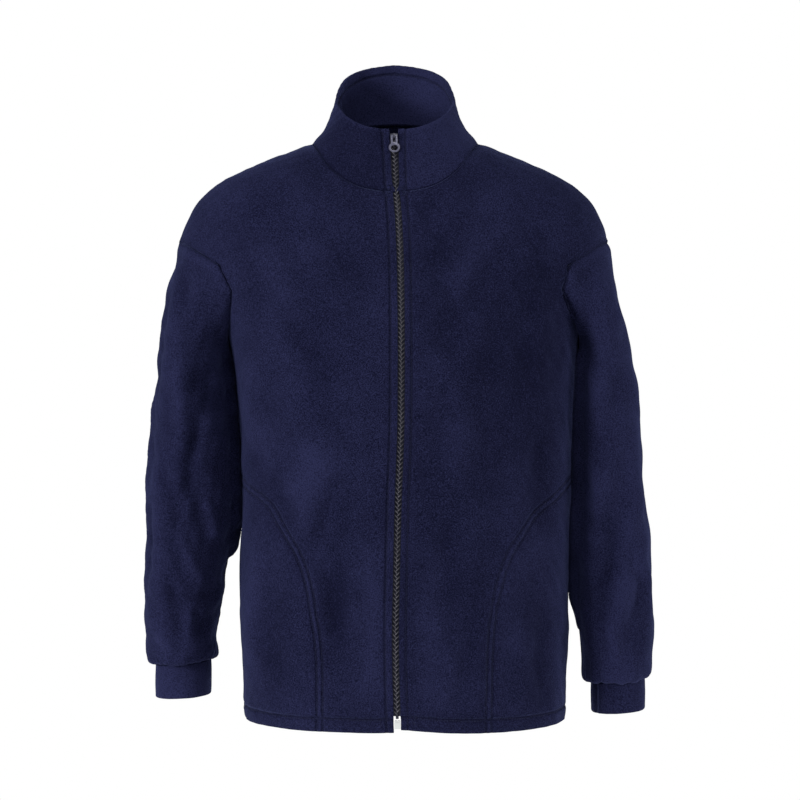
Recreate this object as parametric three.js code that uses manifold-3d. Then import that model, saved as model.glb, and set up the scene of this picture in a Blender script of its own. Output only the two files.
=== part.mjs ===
import * as THREE from "three";
import Module from "manifold-3d";
import { mergeVertices } from "three/addons/utils/BufferGeometryUtils.js";

// Sizes are in millimetres. X runs to the right of the photo, Y to the back and Z up.
// The origin is in the base of the neck, level with the neck ends of the shoulder seams.
const CLOTH = 2.6; // one layer of fleece
const HEM_CLOTH = 4.8; // the turned hem is two layers
const COLLAR_CLOTH = 4.2; // two layers, pressed together
const SEAM_GAP = 0.34; // between two pieces sewn edge to edge
const HEM_Z = -707;
const HEM_STITCH_UP = 16; // the height of the turned hem
const NECK_SIDE_Z = 6; // where the shoulder seam meets the collar
const NECK_BACK_Z = 38;
const NECK_FRONT_Z = -65;
const ARM_TOP_Z = -117; // the ends of the dropped shoulder
const ARM_LOW_Z = -234; // under the arm
const ZIP_HALF_GAP = 4.3; // from the zip's middle to each centre edge
const ZIP_TOP_HALF_GAP = 5.6; // the same beside the slider

// The trunk, by height: level sections that are rounded at the sides.
const TRUNK = [
  { z: -720, middle: 13, half: 198.5, front: 144, back: 135, square: 2.5 },
  { z: -640, middle: 12, half: 202, front: 147, back: 135.5, square: 2.5 },
  { z: -565, middle: 10.5, half: 204.5, front: 149, back: 136, square: 2.5 },
  { z: -470, middle: 13, half: 205, front: 150.5, back: 137, square: 2.5 },
  { z: -377, middle: 15, half: 207, front: 151, back: 138, square: 2.45 },
  { z: -315, middle: 13.5, half: 210, front: 150.5, back: 138.5, square: 2.4 },
  { z: -252, middle: 12, half: 217, front: 148, back: 138, square: 2.35 },
  { z: -225, middle: 10, half: 221.5, front: 144, back: 137, square: 2.3 },
  { z: -200, middle: 6, half: 230, front: 140, back: 136, square: 2.25 },
  { z: -175, middle: 2, half: 246, front: 134, back: 134, square: 2.2 },
  { z: -148, middle: -1, half: 268, front: 127, back: 131, square: 2.15 },
  { z: -122, middle: -2, half: 271, front: 120.5, back: 128, square: 2.1 },
  { z: -107, middle: -1, half: 267.5, front: 117, back: 125, square: 2.1 },
  { z: -92, middle: -1, half: 261.5, front: 113, back: 122, square: 2.1 },
  { z: -77, middle: -1, half: 254, front: 109, back: 119, square: 2.1 },
  { z: -62, middle: -1, half: 243.5, front: 104, back: 115.5, square: 2.1 },
  { z: -47, middle: -0.5, half: 225, front: 98.5, back: 111.5, square: 2.1 },
  { z: -32, middle: 0, half: 197, front: 92, back: 107, square: 2.1 },
  { z: -17, middle: 0, half: 160.5, front: 85, back: 102, square: 2.1 },
  { z: 0, middle: 0.5, half: 119.5, front: 75, back: 95, square: 2.1 },
  { z: 6, middle: 0.5, half: 104, front: 71, back: 92, square: 2.1 },
  { z: 22, middle: 0, half: 92, front: 66, back: 84, square: 2.1 },
  { z: 40, middle: 0, half: 86, front: 62, back: 75, square: 2.1 },
];

// The zip's middle wanders a little, by height.
const ZIP_LINE = [
  { z: -720, x: 3.4 },
  { z: -690, x: 3 },
  { z: -640, x: 1.4 },
  { z: -590, x: 0.8 },
  { z: -540, x: 1.8 },
  { z: -480, x: 3 },
  { z: -421, x: 4.4 },
  { z: -350, x: 7.4 },
  { z: -250, x: 7.8 },
  { z: -160, x: 7 },
  { z: -113, x: 5.2 },
  { z: -89, x: 4 },
  { z: -65, x: 1.6 },
  { z: -20, x: 0 },
  { z: 14, x: -1.5 },
];

// The lower edge's height over or under the plain hem, across the front.
const HEM_WAVE = [
  { x: -200, up: 0 },
  { x: -120, up: -0.4 },
  { x: -50, up: -0.8 },
  { x: -8, up: -2.4 },
  { x: 8, up: 3.2 },
  { x: 50, up: -0.6 },
  { x: 105, up: -2.4 },
  { x: 160, up: -1.6 },
  { x: 230, up: 0 },
];

// The armhole's front and back halves, as turns round the trunk and heights. Round 0 is the
// shoulder's end and 180 is under the arm.
const ARMHOLE_FRONT = [
  { round: 0, turn: 90, z: ARM_TOP_Z },
  { round: 30, turn: 76, z: -121 },
  { round: 60, turn: 61, z: -133 },
  { round: 90, turn: 51, z: -151 },
  { round: 120, turn: 54, z: -182 },
  { round: 150, turn: 64, z: -212 },
  { round: 165, turn: 76, z: -225 },
  { round: 180, turn: 90, z: ARM_LOW_Z },
];
const ARMHOLE_BACK = [
  { round: 0, turn: 90, z: ARM_TOP_Z },
  { round: 30, turn: 104, z: -121 },
  { round: 60, turn: 118, z: -132 },
  { round: 90, turn: 127, z: -149 },
  { round: 120, turn: 125, z: -182 },
  { round: 150, turn: 115, z: -212 },
  { round: 165, turn: 103, z: -225 },
  { round: 180, turn: 90, z: ARM_LOW_Z },
];

// The neck seam: its height across the front, and its height round the back.
const NECK_FRONT = [
  { across: 0, z: NECK_FRONT_Z },
  { across: 30, z: -62 },
  { across: 54, z: -53.5 },
  { across: 76, z: -36 },
  { across: 89, z: -17 },
  { across: 98, z: -3 },
  { across: 104, z: NECK_SIDE_Z },
];
const NECK_BACK = [
  { turn: 90, z: NECK_SIDE_Z },
  { turn: 105, z: 12 },
  { turn: 122, z: 20 },
  { turn: 142, z: 30 },
  { turn: 162, z: 36.5 },
  { turn: 180, z: NECK_BACK_Z },
];

// The collar's rim, by the turn round the neck from the centre front.
const RIM = [
  { turn: 0, across: 0, y: -80, z: 12.6 },
  { turn: 18, across: 24, y: -76, z: 15 },
  { turn: 30, across: 38, y: -69, z: 19.5 },
  { turn: 60, across: 64, y: -43, z: 38 },
  { turn: 90, across: 75, y: -3, z: 60 },
  { turn: 120, across: 67, y: 36, z: 90 },
  { turn: 150, across: 39, y: 64, z: 109 },
  { turn: 180, across: 0, y: 75, z: 116 },
];

// The sleeves, by height: where the outer and inner sides are from the middle of the neck.
const SLEEVE_LEFT = {
  side: -1,
  sections: [
    { z: -100, outer: 264, inner: 212, depth: 70, y: 0 },
    { z: -152, outer: 280, inner: 210, depth: 78, y: 0 },
    { z: -190, outer: 287, inner: 208, depth: 80, y: 0 },
    { z: -250, outer: 294, inner: 205, depth: 79, y: -1 },
    { z: -315, outer: 299, inner: 199, depth: 76, y: -2 },
    { z: -377, outer: 304, inner: 196, depth: 73, y: -4 },
    { z: -440, outer: 309, inner: 195, depth: 69, y: -6 },
    { z: -482, outer: 309.5, inner: 197, depth: 66, y: -8 },
    { z: -527, outer: 310, inner: 207, depth: 62, y: -10 },
    { z: -572, outer: 310, inner: 215.5, depth: 58, y: -12 },
    { z: -605, outer: 308, inner: 220, depth: 55, y: -13 },
    { z: -645, outer: 307, inner: 221, depth: 53, y: -14 },
  ],
  end: -637,
  slope: -3, // how much the end rises on the outer side
  cuffOuter: 297.5,
  cuffInner: 228,
  cuffDepth: 40,
  cuffEnd: -681,
};
const SLEEVE_RIGHT = {
  side: 1,
  sections: [
    { z: -100, outer: 262, inner: 215, depth: 70, y: 0 },
    { z: -152, outer: 274, inner: 222, depth: 78, y: 0 },
    { z: -190, outer: 280, inner: 224, depth: 80, y: 0 },
    { z: -250, outer: 289, inner: 224, depth: 79, y: -1 },
    { z: -315, outer: 298, inner: 221, depth: 76, y: -2 },
    { z: -377, outer: 304, inner: 219, depth: 73, y: -4 },
    { z: -440, outer: 310.5, inner: 219.5, depth: 69, y: -6 },
    { z: -515, outer: 316.5, inner: 221, depth: 64, y: -9 },
    { z: -572, outer: 319.5, inner: 226, depth: 60, y: -11 },
    { z: -617, outer: 319.5, inner: 231, depth: 57, y: -13 },
    { z: -670, outer: 317, inner: 234, depth: 55, y: -15 },
  ],
  end: -658,
  slope: 4,
  cuffOuter: 310.5,
  cuffInner: 243,
  cuffDepth: 40,
  cuffEnd: -699,
};

// The largest folds: a trough (deep less than 0) or a ridge between two places of the view
// from the front (face -1) or from behind (face 1), both given as X and Z.
const TRUNK_FOLDS = [
  { face: -1, x1: -118, z1: -150, x2: 40, z2: -330, wide: 34, deep: -3.2 },
  { face: -1, x1: -150, z1: -270, x2: -20, z2: -430, wide: 34, deep: 2.6 },
  { face: -1, x1: 150, z1: -110, x2: 40, z2: -250, wide: 30, deep: -3 },
  { face: -1, x1: 160, z1: -210, x2: 150, z2: -430, wide: 32, deep: -3.4 },
  { face: -1, x1: -46, z1: -420, x2: -80, z2: -560, wide: 20, deep: -5 },
  { face: -1, x1: -22, z1: -480, x2: -30, z2: -620, wide: 20, deep: 3.4 },
  { face: -1, x1: -130, z1: -440, x2: -128, z2: -560, wide: 22, deep: 2.8 },
  { face: -1, x1: 92, z1: -480, x2: 70, z2: -660, wide: 24, deep: 3 },
  { face: -1, x1: 40, z1: -520, x2: 42, z2: -690, wide: 18, deep: -3 },
  { face: -1, x1: 150, z1: -560, x2: 160, z2: -690, wide: 22, deep: 2.6 },
  { face: -1, x1: -196, z1: -118, x2: -178, z2: -240, wide: 17, deep: 3.4 },
  { face: 1, x1: -120, z1: -150, x2: -60, z2: -380, wide: 34, deep: -3.6 },
  { face: 1, x1: 130, z1: -140, x2: 70, z2: -360, wide: 34, deep: -3.6 },
  { face: 1, x1: -150, z1: -330, x2: -130, z2: -600, wide: 26, deep: 3.2 },
  { face: 1, x1: 150, z1: -380, x2: 140, z2: -640, wide: 26, deep: -3.6 },
  { face: 1, x1: -60, z1: -470, x2: -40, z2: -690, wide: 24, deep: -4 },
  { face: 1, x1: 30, z1: -440, x2: 60, z2: -690, wide: 24, deep: 3.4 },
];
const SLEEVE_FOLDS = [
  { side: -1, face: -1, x1: -228, z1: -190, x2: -226, z2: -400, wide: 15, deep: -5 },
  { side: -1, face: -1, x1: -246, z1: -400, x2: -212, z2: -520, wide: 13, deep: -5 },
  { side: -1, face: -1, x1: -270, z1: -300, x2: -278, z2: -470, wide: 16, deep: 3 },
  { side: -1, face: -1, x1: -285, z1: -560, x2: -230, z2: -600, wide: 12, deep: -4 },
  { side: 1, face: -1, x1: 240, z1: -210, x2: 236, z2: -400, wide: 15, deep: -4.5 },
  { side: 1, face: -1, x1: 282, z1: -400, x2: 250, z2: -560, wide: 15, deep: -4.5 },
  { side: 1, face: -1, x1: 300, z1: -300, x2: 305, z2: -480, wide: 14, deep: 3 },
  { side: 1, face: -1, x1: 240, z1: -610, x2: 300, z2: -632, wide: 12, deep: -3.5 },
  { side: -1, face: 1, x1: -228, z1: -190, x2: -250, z2: -390, wide: 16, deep: -5 },
  { side: -1, face: 1, x1: -290, z1: -420, x2: -240, z2: -520, wide: 14, deep: -4.5 },
  { side: 1, face: 1, x1: 236, z1: -200, x2: 262, z2: -390, wide: 16, deep: -5 },
  { side: 1, face: 1, x1: 300, z1: -420, x2: 250, z2: -540, wide: 14, deep: -4.5 },
];

// The curved edges of the pocket bags, by height: how far they reach from the middle.
const POCKET_LEFT = [
  { z: -692, reach: 90 },
  { z: -600, reach: 91 },
  { z: -561, reach: 97 },
  { z: -516, reach: 107 },
  { z: -488, reach: 119 },
  { z: -463, reach: 135 },
  { z: -438, reach: 154 },
  { z: -422, reach: 170 },
];
const POCKET_RIGHT = [
  { z: -692, reach: 106 },
  { z: -588, reach: 108 },
  { z: -550, reach: 113 },
  { z: -516, reach: 121 },
  { z: -483, reach: 134 },
  { z: -452, reach: 155 },
  { z: -432, reach: 176 },
  { z: -422, reach: 186 },
];
const POCKET_CLOTH = 1.2;
const POCKET_GAP = 0.9;

const DEGREE = Math.PI / 180;

// A smooth curve through a table's column that doesn't swing past its rows.
function columnCurve(table, key, column) {
  const rows = table.slice().sort((a, b) => a[key] - b[key]);
  const at = rows.map((row) => row[key]);
  const value = rows.map((row) => row[column]);
  const last = at.length - 1;
  const step = at.slice(1).map((a, i) => (value[i + 1] - value[i]) / (a - at[i]));
  const slope = value.map((_, i) => {
    if (i === 0) return step[0];
    if (i === last) return step[last - 1];
    if (step[i - 1] * step[i] <= 0) return 0;
    return (2 * step[i - 1] * step[i]) / (step[i - 1] + step[i]);
  });
  return (wanted) => {
    const a = Math.min(Math.max(wanted, at[0]), at[last]);
    let i = 0;
    while (i < last - 1 && a > at[i + 1]) i += 1;
    const width = at[i + 1] - at[i];
    const t = (a - at[i]) / width;
    const rise = value[i + 1] - value[i];
    const curve = t * t * (3 - 2 * t);
    const into = t * (1 - t) * (1 - t) * slope[i];
    const outOf = t * t * (t - 1) * slope[i + 1];
    return value[i] + rise * curve + (into + outOf) * width;
  };
}

// Every column of a table as a curve, by name.
function tableCurves(rows, key) {
  const names = Object.keys(rows[0]).filter((name) => name !== key);
  return Object.fromEntries(names.map((name) => [name, columnCurve(rows, key, name)]));
}

const trunk = tableCurves(TRUNK, "z");
const zipLine = tableCurves(ZIP_LINE, "z");
const hemWave = tableCurves(HEM_WAVE, "x");
const armholeFront = tableCurves(ARMHOLE_FRONT, "round");
const armholeBack = tableCurves(ARMHOLE_BACK, "round");
const neckFront = tableCurves(NECK_FRONT, "across");
const neckBack = tableCurves(NECK_BACK, "turn");
const rim = tableCurves(RIM, "turn");

const blend = (a, b, t) => a + (b - a) * t;

function easeInOut(t) {
  const held = Math.min(Math.max(t, 0), 1);
  return held * held * (3 - 2 * held);
}

// How far the folds of a table push the cloth out at one place of a view.
function foldHeight(folds, face, x, z) {
  let height = 0;
  for (const fold of folds) {
    if (fold.face !== face) continue;
    const runX = fold.x2 - fold.x1;
    const runZ = fold.z2 - fold.z1;
    const length = Math.hypot(runX, runZ);
    const along = ((x - fold.x1) * runX + (z - fold.z1) * runZ) / length;
    const across = ((x - fold.x1) * runZ - (z - fold.z1) * runX) / length;
    const past = Math.max(-along, along - length, 0);
    const away = (across * across) / (fold.wide * fold.wide);
    const beyond = (past * past) / (2.2 * fold.wide * fold.wide);
    height += fold.deep * Math.exp(-away - beyond);
  }
  return height;
}

const signedPower = (value, power) => Math.sign(value) * Math.abs(value) ** power;

// A point of the trunk's outer face and the way out of the cloth there.
// The turn is in degrees round from the centre front, to the right when it is over 0.
function trunkPlace(turn, z) {
  const square = trunk.square(z);
  const half = trunk.half(z);
  const isFront = Math.abs(turn) <= 90;
  const depthOf = isFront ? trunk.front : trunk.back;
  const depth = depthOf(z);
  const acrossShare = signedPower(Math.sin(turn * DEGREE), 2 / square);
  const depthShare = -signedPower(Math.cos(turn * DEGREE), 2 / square);
  const middleRise = (trunk.middle(z + 2) - trunk.middle(z - 2)) / 4;
  const halfRise = (trunk.half(z + 2) - trunk.half(z - 2)) / 4;
  const depthRise = (depthOf(z + 2) - depthOf(z - 2)) / 4;
  const gradientX = signedPower(acrossShare, square - 1) / half;
  const gradientY = signedPower(depthShare, square - 1) / depth;
  const gradientZ =
    gradientX * (-middleRise - acrossShare * halfRise) - gradientY * depthShare * depthRise;
  const out = new THREE.Vector3(gradientX, gradientY, gradientZ).normalize();
  const point = new THREE.Vector3(trunk.middle(z) + half * acrossShare, depth * depthShare, z);
  const quiet = Math.min(Math.abs(depthShare) / 0.35, 1);
  const height = foldHeight(TRUNK_FOLDS, isFront ? -1 : 1, point.x, z) * quiet;
  point.addScaledVector(out, height * (1 - easeInOut((z + 110) / 60)));
  return { point, out };
}

// The turn at which the front's face is at a wanted X.
function frontTurnAt(x, z) {
  const share = (x - trunk.middle(z)) / trunk.half(z);
  const sine = signedPower(Math.max(-1, Math.min(1, share)), trunk.square(z) / 2);
  return Math.asin(sine) / DEGREE;
}

// Places along a path of turns and heights, spaced over the cloth as asked. Each is a point,
// the way out of the cloth and how thick the cloth is there.
function spacedRow(path, columns, thickness, spacing) {
  const dense = 60;
  const places = [];
  for (let i = 0; i <= dense; i += 1) {
    const [turn, z] = path(i / dense);
    places.push({ ...trunkPlace(turn, z), turn, z });
  }
  const run = [0];
  for (let i = 1; i <= dense; i += 1) {
    run.push(run[i - 1] + places[i].point.distanceTo(places[i - 1].point));
  }
  const row = [];
  for (let c = 0; c < columns; c += 1) {
    const wanted = run[dense] * spacing(c / (columns - 1));
    let i = 1;
    while (i < dense && run[i] < wanted) i += 1;
    const t = (wanted - run[i - 1]) / (run[i] - run[i - 1]);
    const turn = blend(places[i - 1].turn, places[i].turn, t);
    const z = blend(places[i - 1].z, places[i].z, t);
    row.push({ ...trunkPlace(turn, z), thickness });
  }
  return row;
}

// Moves the ends of every row, and the first and last rows, back from the seams.
function drawBack(rows, edges) {
  const shift = SEAM_GAP / 2;
  const moves = [];
  const plan = (place, from) => {
    const back = from.point.clone().sub(place.point).normalize();
    moves.push([place, back]);
  };
  for (const row of rows) {
    if (edges.start) plan(row[0], row[1]);
    if (edges.end) plan(row[row.length - 1], row[row.length - 2]);
  }
  const lastRow = rows[rows.length - 1];
  const underRow = rows[rows.length - 2];
  if (edges.top) lastRow.forEach((place, i) => plan(place, underRow[i]));
  for (const [place, back] of moves) place.point.addScaledVector(back, shift);
}

// A closed solid from rows of outer points and the same rows of inner points. A wrapped
// sheet is a tube: its last column meets its first.
function sheetGeometry(outer, inner, wrapped) {
  const rowCount = outer.length;
  const columnCount = outer[0].length;
  const positions = [];
  for (const layer of [outer, inner]) {
    for (const row of layer) for (const point of row) positions.push(point.x, point.y, point.z);
  }
  const layerSize = rowCount * columnCount;
  const index = (layer, r, c) => layer * layerSize + r * columnCount + (c % columnCount);
  const faces = [];
  const quad = (a, b, c, d) => faces.push(a, b, c, a, c, d);
  // Both faces of a patch are split along the diagonal that is shorter on the outer face.
  const patch = (r, c, next) => {
    const rising = outer[r][c].distanceTo(outer[r + 1][next]);
    const falling = outer[r][next].distanceTo(outer[r + 1][c]);
    const corners = [[r, c], [r, next], [r + 1, next], [r + 1, c]];
    if (falling < rising) corners.push(corners.shift());
    const [a, b, d, e] = corners.map(([i, j]) => index(0, i, j));
    quad(a, b, d, e);
    const [f, g, h, k] = corners.map(([i, j]) => index(1, i, j));
    quad(f, k, h, g);
  };
  const spans = wrapped ? columnCount : columnCount - 1;
  for (let r = 0; r < rowCount - 1; r += 1) {
    for (let c = 0; c < spans; c += 1) {
      patch(r, c, (c + 1) % columnCount);
    }
  }
  for (let c = 0; c < spans; c += 1) {
    const top = rowCount - 1;
    quad(index(0, 0, c + 1), index(0, 0, c), index(1, 0, c), index(1, 0, c + 1));
    quad(index(0, top, c), index(0, top, c + 1), index(1, top, c + 1), index(1, top, c));
  }
  if (!wrapped) {
    const side = columnCount - 1;
    for (let r = 0; r < rowCount - 1; r += 1) {
      quad(index(0, r, 0), index(0, r + 1, 0), index(1, r + 1, 0), index(1, r, 0));
      quad(index(0, r + 1, side), index(0, r, side), index(1, r, side), index(1, r + 1, side));
    }
  }
  return closedGeometry(positions, faces);
}

// Makes the geometry, turned to face outward.
function closedGeometry(positions, faces) {
  let volume = 0;
  const corner = (i) => new THREE.Vector3().fromArray(positions, i * 3);
  for (let i = 0; i < faces.length; i += 3) {
    const [a, b, c] = [corner(faces[i]), corner(faces[i + 1]), corner(faces[i + 2])];
    volume += a.dot(b.cross(c));
  }
  const turned = volume < 0 ? faces.slice().reverse() : faces;
  const geometry = new THREE.BufferGeometry();
  geometry.setAttribute("position", new THREE.Float32BufferAttribute(positions, 3));
  geometry.setIndex(turned);
  geometry.computeVertexNormals();
  return geometry;
}

// Cloth from rows of places: the outer face is on the points and the inner face is under it.
function clothGeometry(rows, wrapped) {
  const underFace = ({ point, out, thickness }) => point.clone().addScaledVector(out, -thickness);
  const outer = rows.map((row) => row.map((place) => place.point));
  const inner = rows.map((row) => row.map(underFace));
  return sheetGeometry(outer, inner, wrapped);
}

const FLEECE = new THREE.MeshStandardMaterial({ color: 0x1e2142, roughness: 0.95 });
const TAPE = new THREE.MeshStandardMaterial({ color: 0x1a1c34, roughness: 0.9 });
const TEETH = new THREE.MeshStandardMaterial({ color: 0x30353f, roughness: 0.6 });
const PULL = new THREE.MeshStandardMaterial({ color: 0x6c6c84, roughness: 0.4 });
const BOX = new THREE.MeshStandardMaterial({ color: 0xe6e8ea, roughness: 0.5 });

const jacket = new THREE.Group();
jacket.name = "fleece_zip_jacket";

function addPiece(name, geometry, material) {
  const mesh = new THREE.Mesh(geometry, material);
  mesh.name = name;
  jacket.add(mesh);
}

// Heights of the level rows from the hem to under the arm.
const HEM_ROWS = [0, HEM_STITCH_UP, HEM_STITCH_UP + 3];
const LEVEL_ROWS = 12;
// Rows that end on the armhole: how far each arches over its ends, and how much its points
// crowd towards the side.
const ARM_ROWS = [
  { round: 165, arch: 0, crowd: 1 },
  { round: 150, arch: 0, crowd: 1 },
  { round: 120, arch: 0, crowd: 1 },
  { round: 90, arch: 0, crowd: 0.9 },
  { round: 45, arch: 0, crowd: 0.5 },
  { round: 0, arch: 9, crowd: 0.1 },
];
const SHOULDER_SHARES = [0.17, 0.34, 0.51, 0.68, 0.84, 1];

function levelHeights() {
  const start = HEM_Z + HEM_ROWS[2];
  const heights = HEM_ROWS.slice(0, 2).map((up) => HEM_Z + up);
  for (let i = 0; i <= LEVEL_ROWS; i += 1) {
    heights.push(blend(start, ARM_LOW_Z, i / LEVEL_ROWS));
  }
  return heights;
}

// Where the side edge of a front or back panel runs, from the hem up to the neck.
function panelEnds(armhole) {
  const ends = levelHeights().map((z) => ({ turn: 90, z, arch: 0, crowd: 1 }));
  for (const { round, arch, crowd } of ARM_ROWS) {
    ends.push({ turn: armhole.turn(round), z: armhole.z(round), arch, crowd });
  }
  for (const share of SHOULDER_SHARES) {
    const z = blend(ARM_TOP_Z, NECK_SIDE_Z, shoulderShare(share));
    ends.push({ turn: 90, z, arch: 0, crowd: 0 });
  }
  return ends;
}

// Even steps along the shoulder seam are uneven steps in height.
function shoulderShare(share) {
  return blend(share, Math.sqrt(share), 0.55);
}

// The height of the middle of each row, over the level rows.
function middleHeight(row, rowCount, topZ) {
  const level = levelHeights();
  if (row < level.length) return level[row];
  const share = (row - level.length + 1) / (rowCount - level.length);
  return blend(ARM_LOW_Z, topZ, share);
}

function zipHalfGap(z) {
  return blend(ZIP_HALF_GAP, ZIP_TOP_HALF_GAP, easeInOut((z + 30) / 25));
}

// A front panel's rows run from the zip to the side seam, armhole and shoulder seam.
function frontRows(side, columns) {
  const ends = panelEnds(armholeFront);
  const rows = ends.map((end, r) => {
    const middleZ = middleHeight(r, ends.length, NECK_FRONT_Z);
    const isNeck = r === ends.length - 1;
    const path = (t) => {
      if (isNeck) {
        const across = blend(0, NECK_FRONT[NECK_FRONT.length - 1].across, t);
        const z = t === 1 ? NECK_SIDE_Z : neckFront.z(across);
        const turn = t === 1 ? 90 : Math.abs(frontTurnAt(side * across, z));
        const edge = frontTurnAt(zipLine.x(z) + side * zipHalfGap(z), z);
        return [side * Math.max(turn, side * edge), z];
      }
      const edge = frontTurnAt(zipLine.x(middleZ) + side * zipHalfGap(middleZ), middleZ);
      const z = blend(middleZ, end.z, t * (2 - t)) + end.arch * Math.sin(Math.PI * t);
      return [blend(edge, side * end.turn, t), z];
    };
    const thickness = r < 2 ? HEM_CLOTH : CLOTH;
    const spacing = (share) => blend(share, 1 - (1 - share) ** 1.35, end.crowd);
    return spacedRow(path, columns, thickness, spacing);
  });
  for (const place of rows[0]) place.point.z += hemWave.up(place.point.x);
  drawBack(rows, { end: true, top: true });
  return rows;
}

function backRows(columns) {
  const ends = panelEnds(armholeBack);
  const rows = ends.map((end, r) => {
    const middleZ = middleHeight(r, ends.length, NECK_BACK_Z);
    const isNeck = r === ends.length - 1;
    const path = (t) => {
      const fromMiddle = Math.abs(2 * t - 1);
      const turn = blend(180, end.turn, fromMiddle);
      const share = fromMiddle * (2 - fromMiddle);
      const arch = end.arch * Math.sin(Math.PI * fromMiddle);
      const z = isNeck ? neckBack.z(turn) : blend(middleZ, end.z, share) + arch;
      return [t < 0.5 ? -turn : turn - 360, z];
    };
    const spacing = (share) => {
      const fromMiddle = Math.abs(2 * share - 1);
      const crowded = 1 - (1 - fromMiddle) ** 1.35;
      return 0.5 + (Math.sign(share - 0.5) * blend(fromMiddle, crowded, end.crowd)) / 2;
    };
    return spacedRow(path, columns, r < 2 ? HEM_CLOTH : CLOTH, spacing);
  });
  drawBack(rows, { start: true, end: true, top: true });
  return rows;
}

const FRONT_COLUMNS = 12;
const BACK_COLUMNS = 19;
const leftFront = frontRows(-1, FRONT_COLUMNS);
const rightFront = frontRows(1, FRONT_COLUMNS);
const backPanel = backRows(BACK_COLUMNS);
addPiece("front_left", clothGeometry(leftFront, false), FLEECE);
addPiece("front_right", clothGeometry(rightFront, false), FLEECE);
addPiece("back", clothGeometry(backPanel, false), FLEECE);

// Sleeves: tubes from the armhole to the turned-in end over the cuff.
const SLEEVE_COLUMNS = 24;
const SLEEVE_GAP = 2.8; // between a sleeve and the side of the trunk
const UNDERARM_STAND = 2.2; // the sleeve's edge off the trunk under the arm
const JOIN_ROWS = 8; // rows over which the armhole's shape fades into the tube's
const TUBE_ROWS = 11;
const JOIN_END_Z = -335;
const SETTLE_SPEED = 2.4; // how soon a tube takes its own sections below the armhole

// How far the trunk's side is from the middle at a depth and height.
function trunkSide(side, y, z) {
  const depth = y < 0 ? trunk.front(z) : trunk.back(z);
  const share = Math.min(Math.abs(y) / depth, 1);
  const square = trunk.square(z);
  const reach = trunk.half(z) * (1 - share ** square) ** (1 / square);
  return side * trunk.middle(z) + reach;
}

function sleeveSection(sleeve, round, z, scale = 1) {
  const curves = sleeve.curves;
  const middle = (curves.outer(z) + curves.inner(z)) / 2;
  const half = ((curves.outer(z) - curves.inner(z)) / 2) * scale;
  const across = signedPower(Math.cos(round * DEGREE), 0.9) * half;
  const away = signedPower(Math.sin(round * DEGREE), 0.9) * curves.depth(z) * scale;
  const point = new THREE.Vector3(sleeve.side * (middle + across), curves.y(z) - away, z);
  return point;
}

// A place on the armhole's edge. The back half runs on from 180 to 360. Between the rows of
// the panels the edge is straight, so the sleeve's edge is too.
function armholePlace(side, round) {
  const isFront = round <= 180;
  const loop = isFront ? armholeFront : armholeBack;
  const turned = isFront ? round : 360 - round;
  const knots = [180, ...ARM_ROWS.map((row) => row.round)];
  const upper = knots.findIndex((knot) => knot <= turned);
  const above = knots[upper];
  const below = knots[Math.max(upper - 1, 0)];
  const share = below === above ? 0 : (turned - above) / (below - above);
  const place = trunkPlace(side * loop.turn(above), loop.z(above));
  const other = trunkPlace(side * loop.turn(below), loop.z(below));
  place.point.lerp(other.point, share);
  place.out.lerp(other.out, share).normalize();
  return place;
}

function sleeveRows(sleeve) {
  sleeve.curves = tableCurves(sleeve.sections, "z");
  const side = sleeve.side;
  const rows = [];
  const tubeBottom = sleeve.end + 6;
  for (let r = 0; r <= JOIN_ROWS + TUBE_ROWS; r += 1) {
    const row = [];
    for (let c = 0; c < SLEEVE_COLUMNS; c += 1) {
      const round = (360 * c) / SLEEVE_COLUMNS;
      const start = armholePlace(side, round).point;
      if (r <= JOIN_ROWS) {
        const t = r / JOIN_ROWS;
        const z = blend(start.z, JOIN_END_Z, t ** 1.15);
        const point = sleeveSection(sleeve, round, z);
        const settle = easeInOut(t * SETTLE_SPEED);
        point.x = blend(start.x, point.x, settle);
        point.y = blend(start.y, point.y, settle);
        row.push(point);
      } else {
        const t = (r - JOIN_ROWS) / TUBE_ROWS;
        const lean = sleeve.slope * t * Math.cos(round * DEGREE);
        row.push(sleeveSection(sleeve, round, blend(JOIN_END_Z, tubeBottom, t)));
        row[c].z += lean;
      }
    }
    rows.push(row);
  }
  return rows;
}

// The way out of a tube at each of its points, from the neighbouring points.
function tubeOutward(rows, r, c) {
  const columns = rows[0].length;
  const above = rows[Math.max(r - 1, 0)][c];
  const below = rows[Math.min(r + 1, rows.length - 1)][c];
  const before = rows[r][(c + columns - 1) % columns];
  const after = rows[r][(c + 1) % columns];
  const down = below.clone().sub(above);
  const round = after.clone().sub(before);
  return round.cross(down).normalize();
}

function sleevePlaces(sleeve) {
  const side = sleeve.side;
  const rows = sleeveRows(sleeve);
  const folds = SLEEVE_FOLDS.filter((fold) => fold.side === side);
  const lip = [
    { drop: 5, scale: 0.975 },
    { drop: 7, scale: 0.9 },
    { drop: 7, scale: 0.72 },
  ];
  for (const { drop, scale } of lip) {
    const row = [];
    for (let c = 0; c < SLEEVE_COLUMNS; c += 1) {
      const round = (360 * c) / SLEEVE_COLUMNS;
      const point = sleeveSection(sleeve, round, sleeve.end + 6, scale);
      point.z += sleeve.slope * Math.cos(round * DEGREE) - drop;
      row.push(point);
    }
    rows.push(row);
  }
  const outward = rows.map((row, r) =>
    row.map((_, c) => tubeOutward(rows, r, c).multiplyScalar(side)),
  );
  const lipStart = rows.length - lip.length;
  return rows.map((row, r) =>
    row.map((point, c) => {
      const out = outward[r][c];
      if (r > 0 && r < lipStart) {
        const face = point.y < sleeve.curves.y(point.z) ? -1 : 1;
        const fade = easeInOut((r - 1) / 3) * easeInOut((lipStart - r) / 2);
        point.addScaledVector(out, foldHeight(folds, face, point.x, point.z) * fade);
      }
      return { point, out, thickness: CLOTH };
    }),
  );
}

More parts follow.
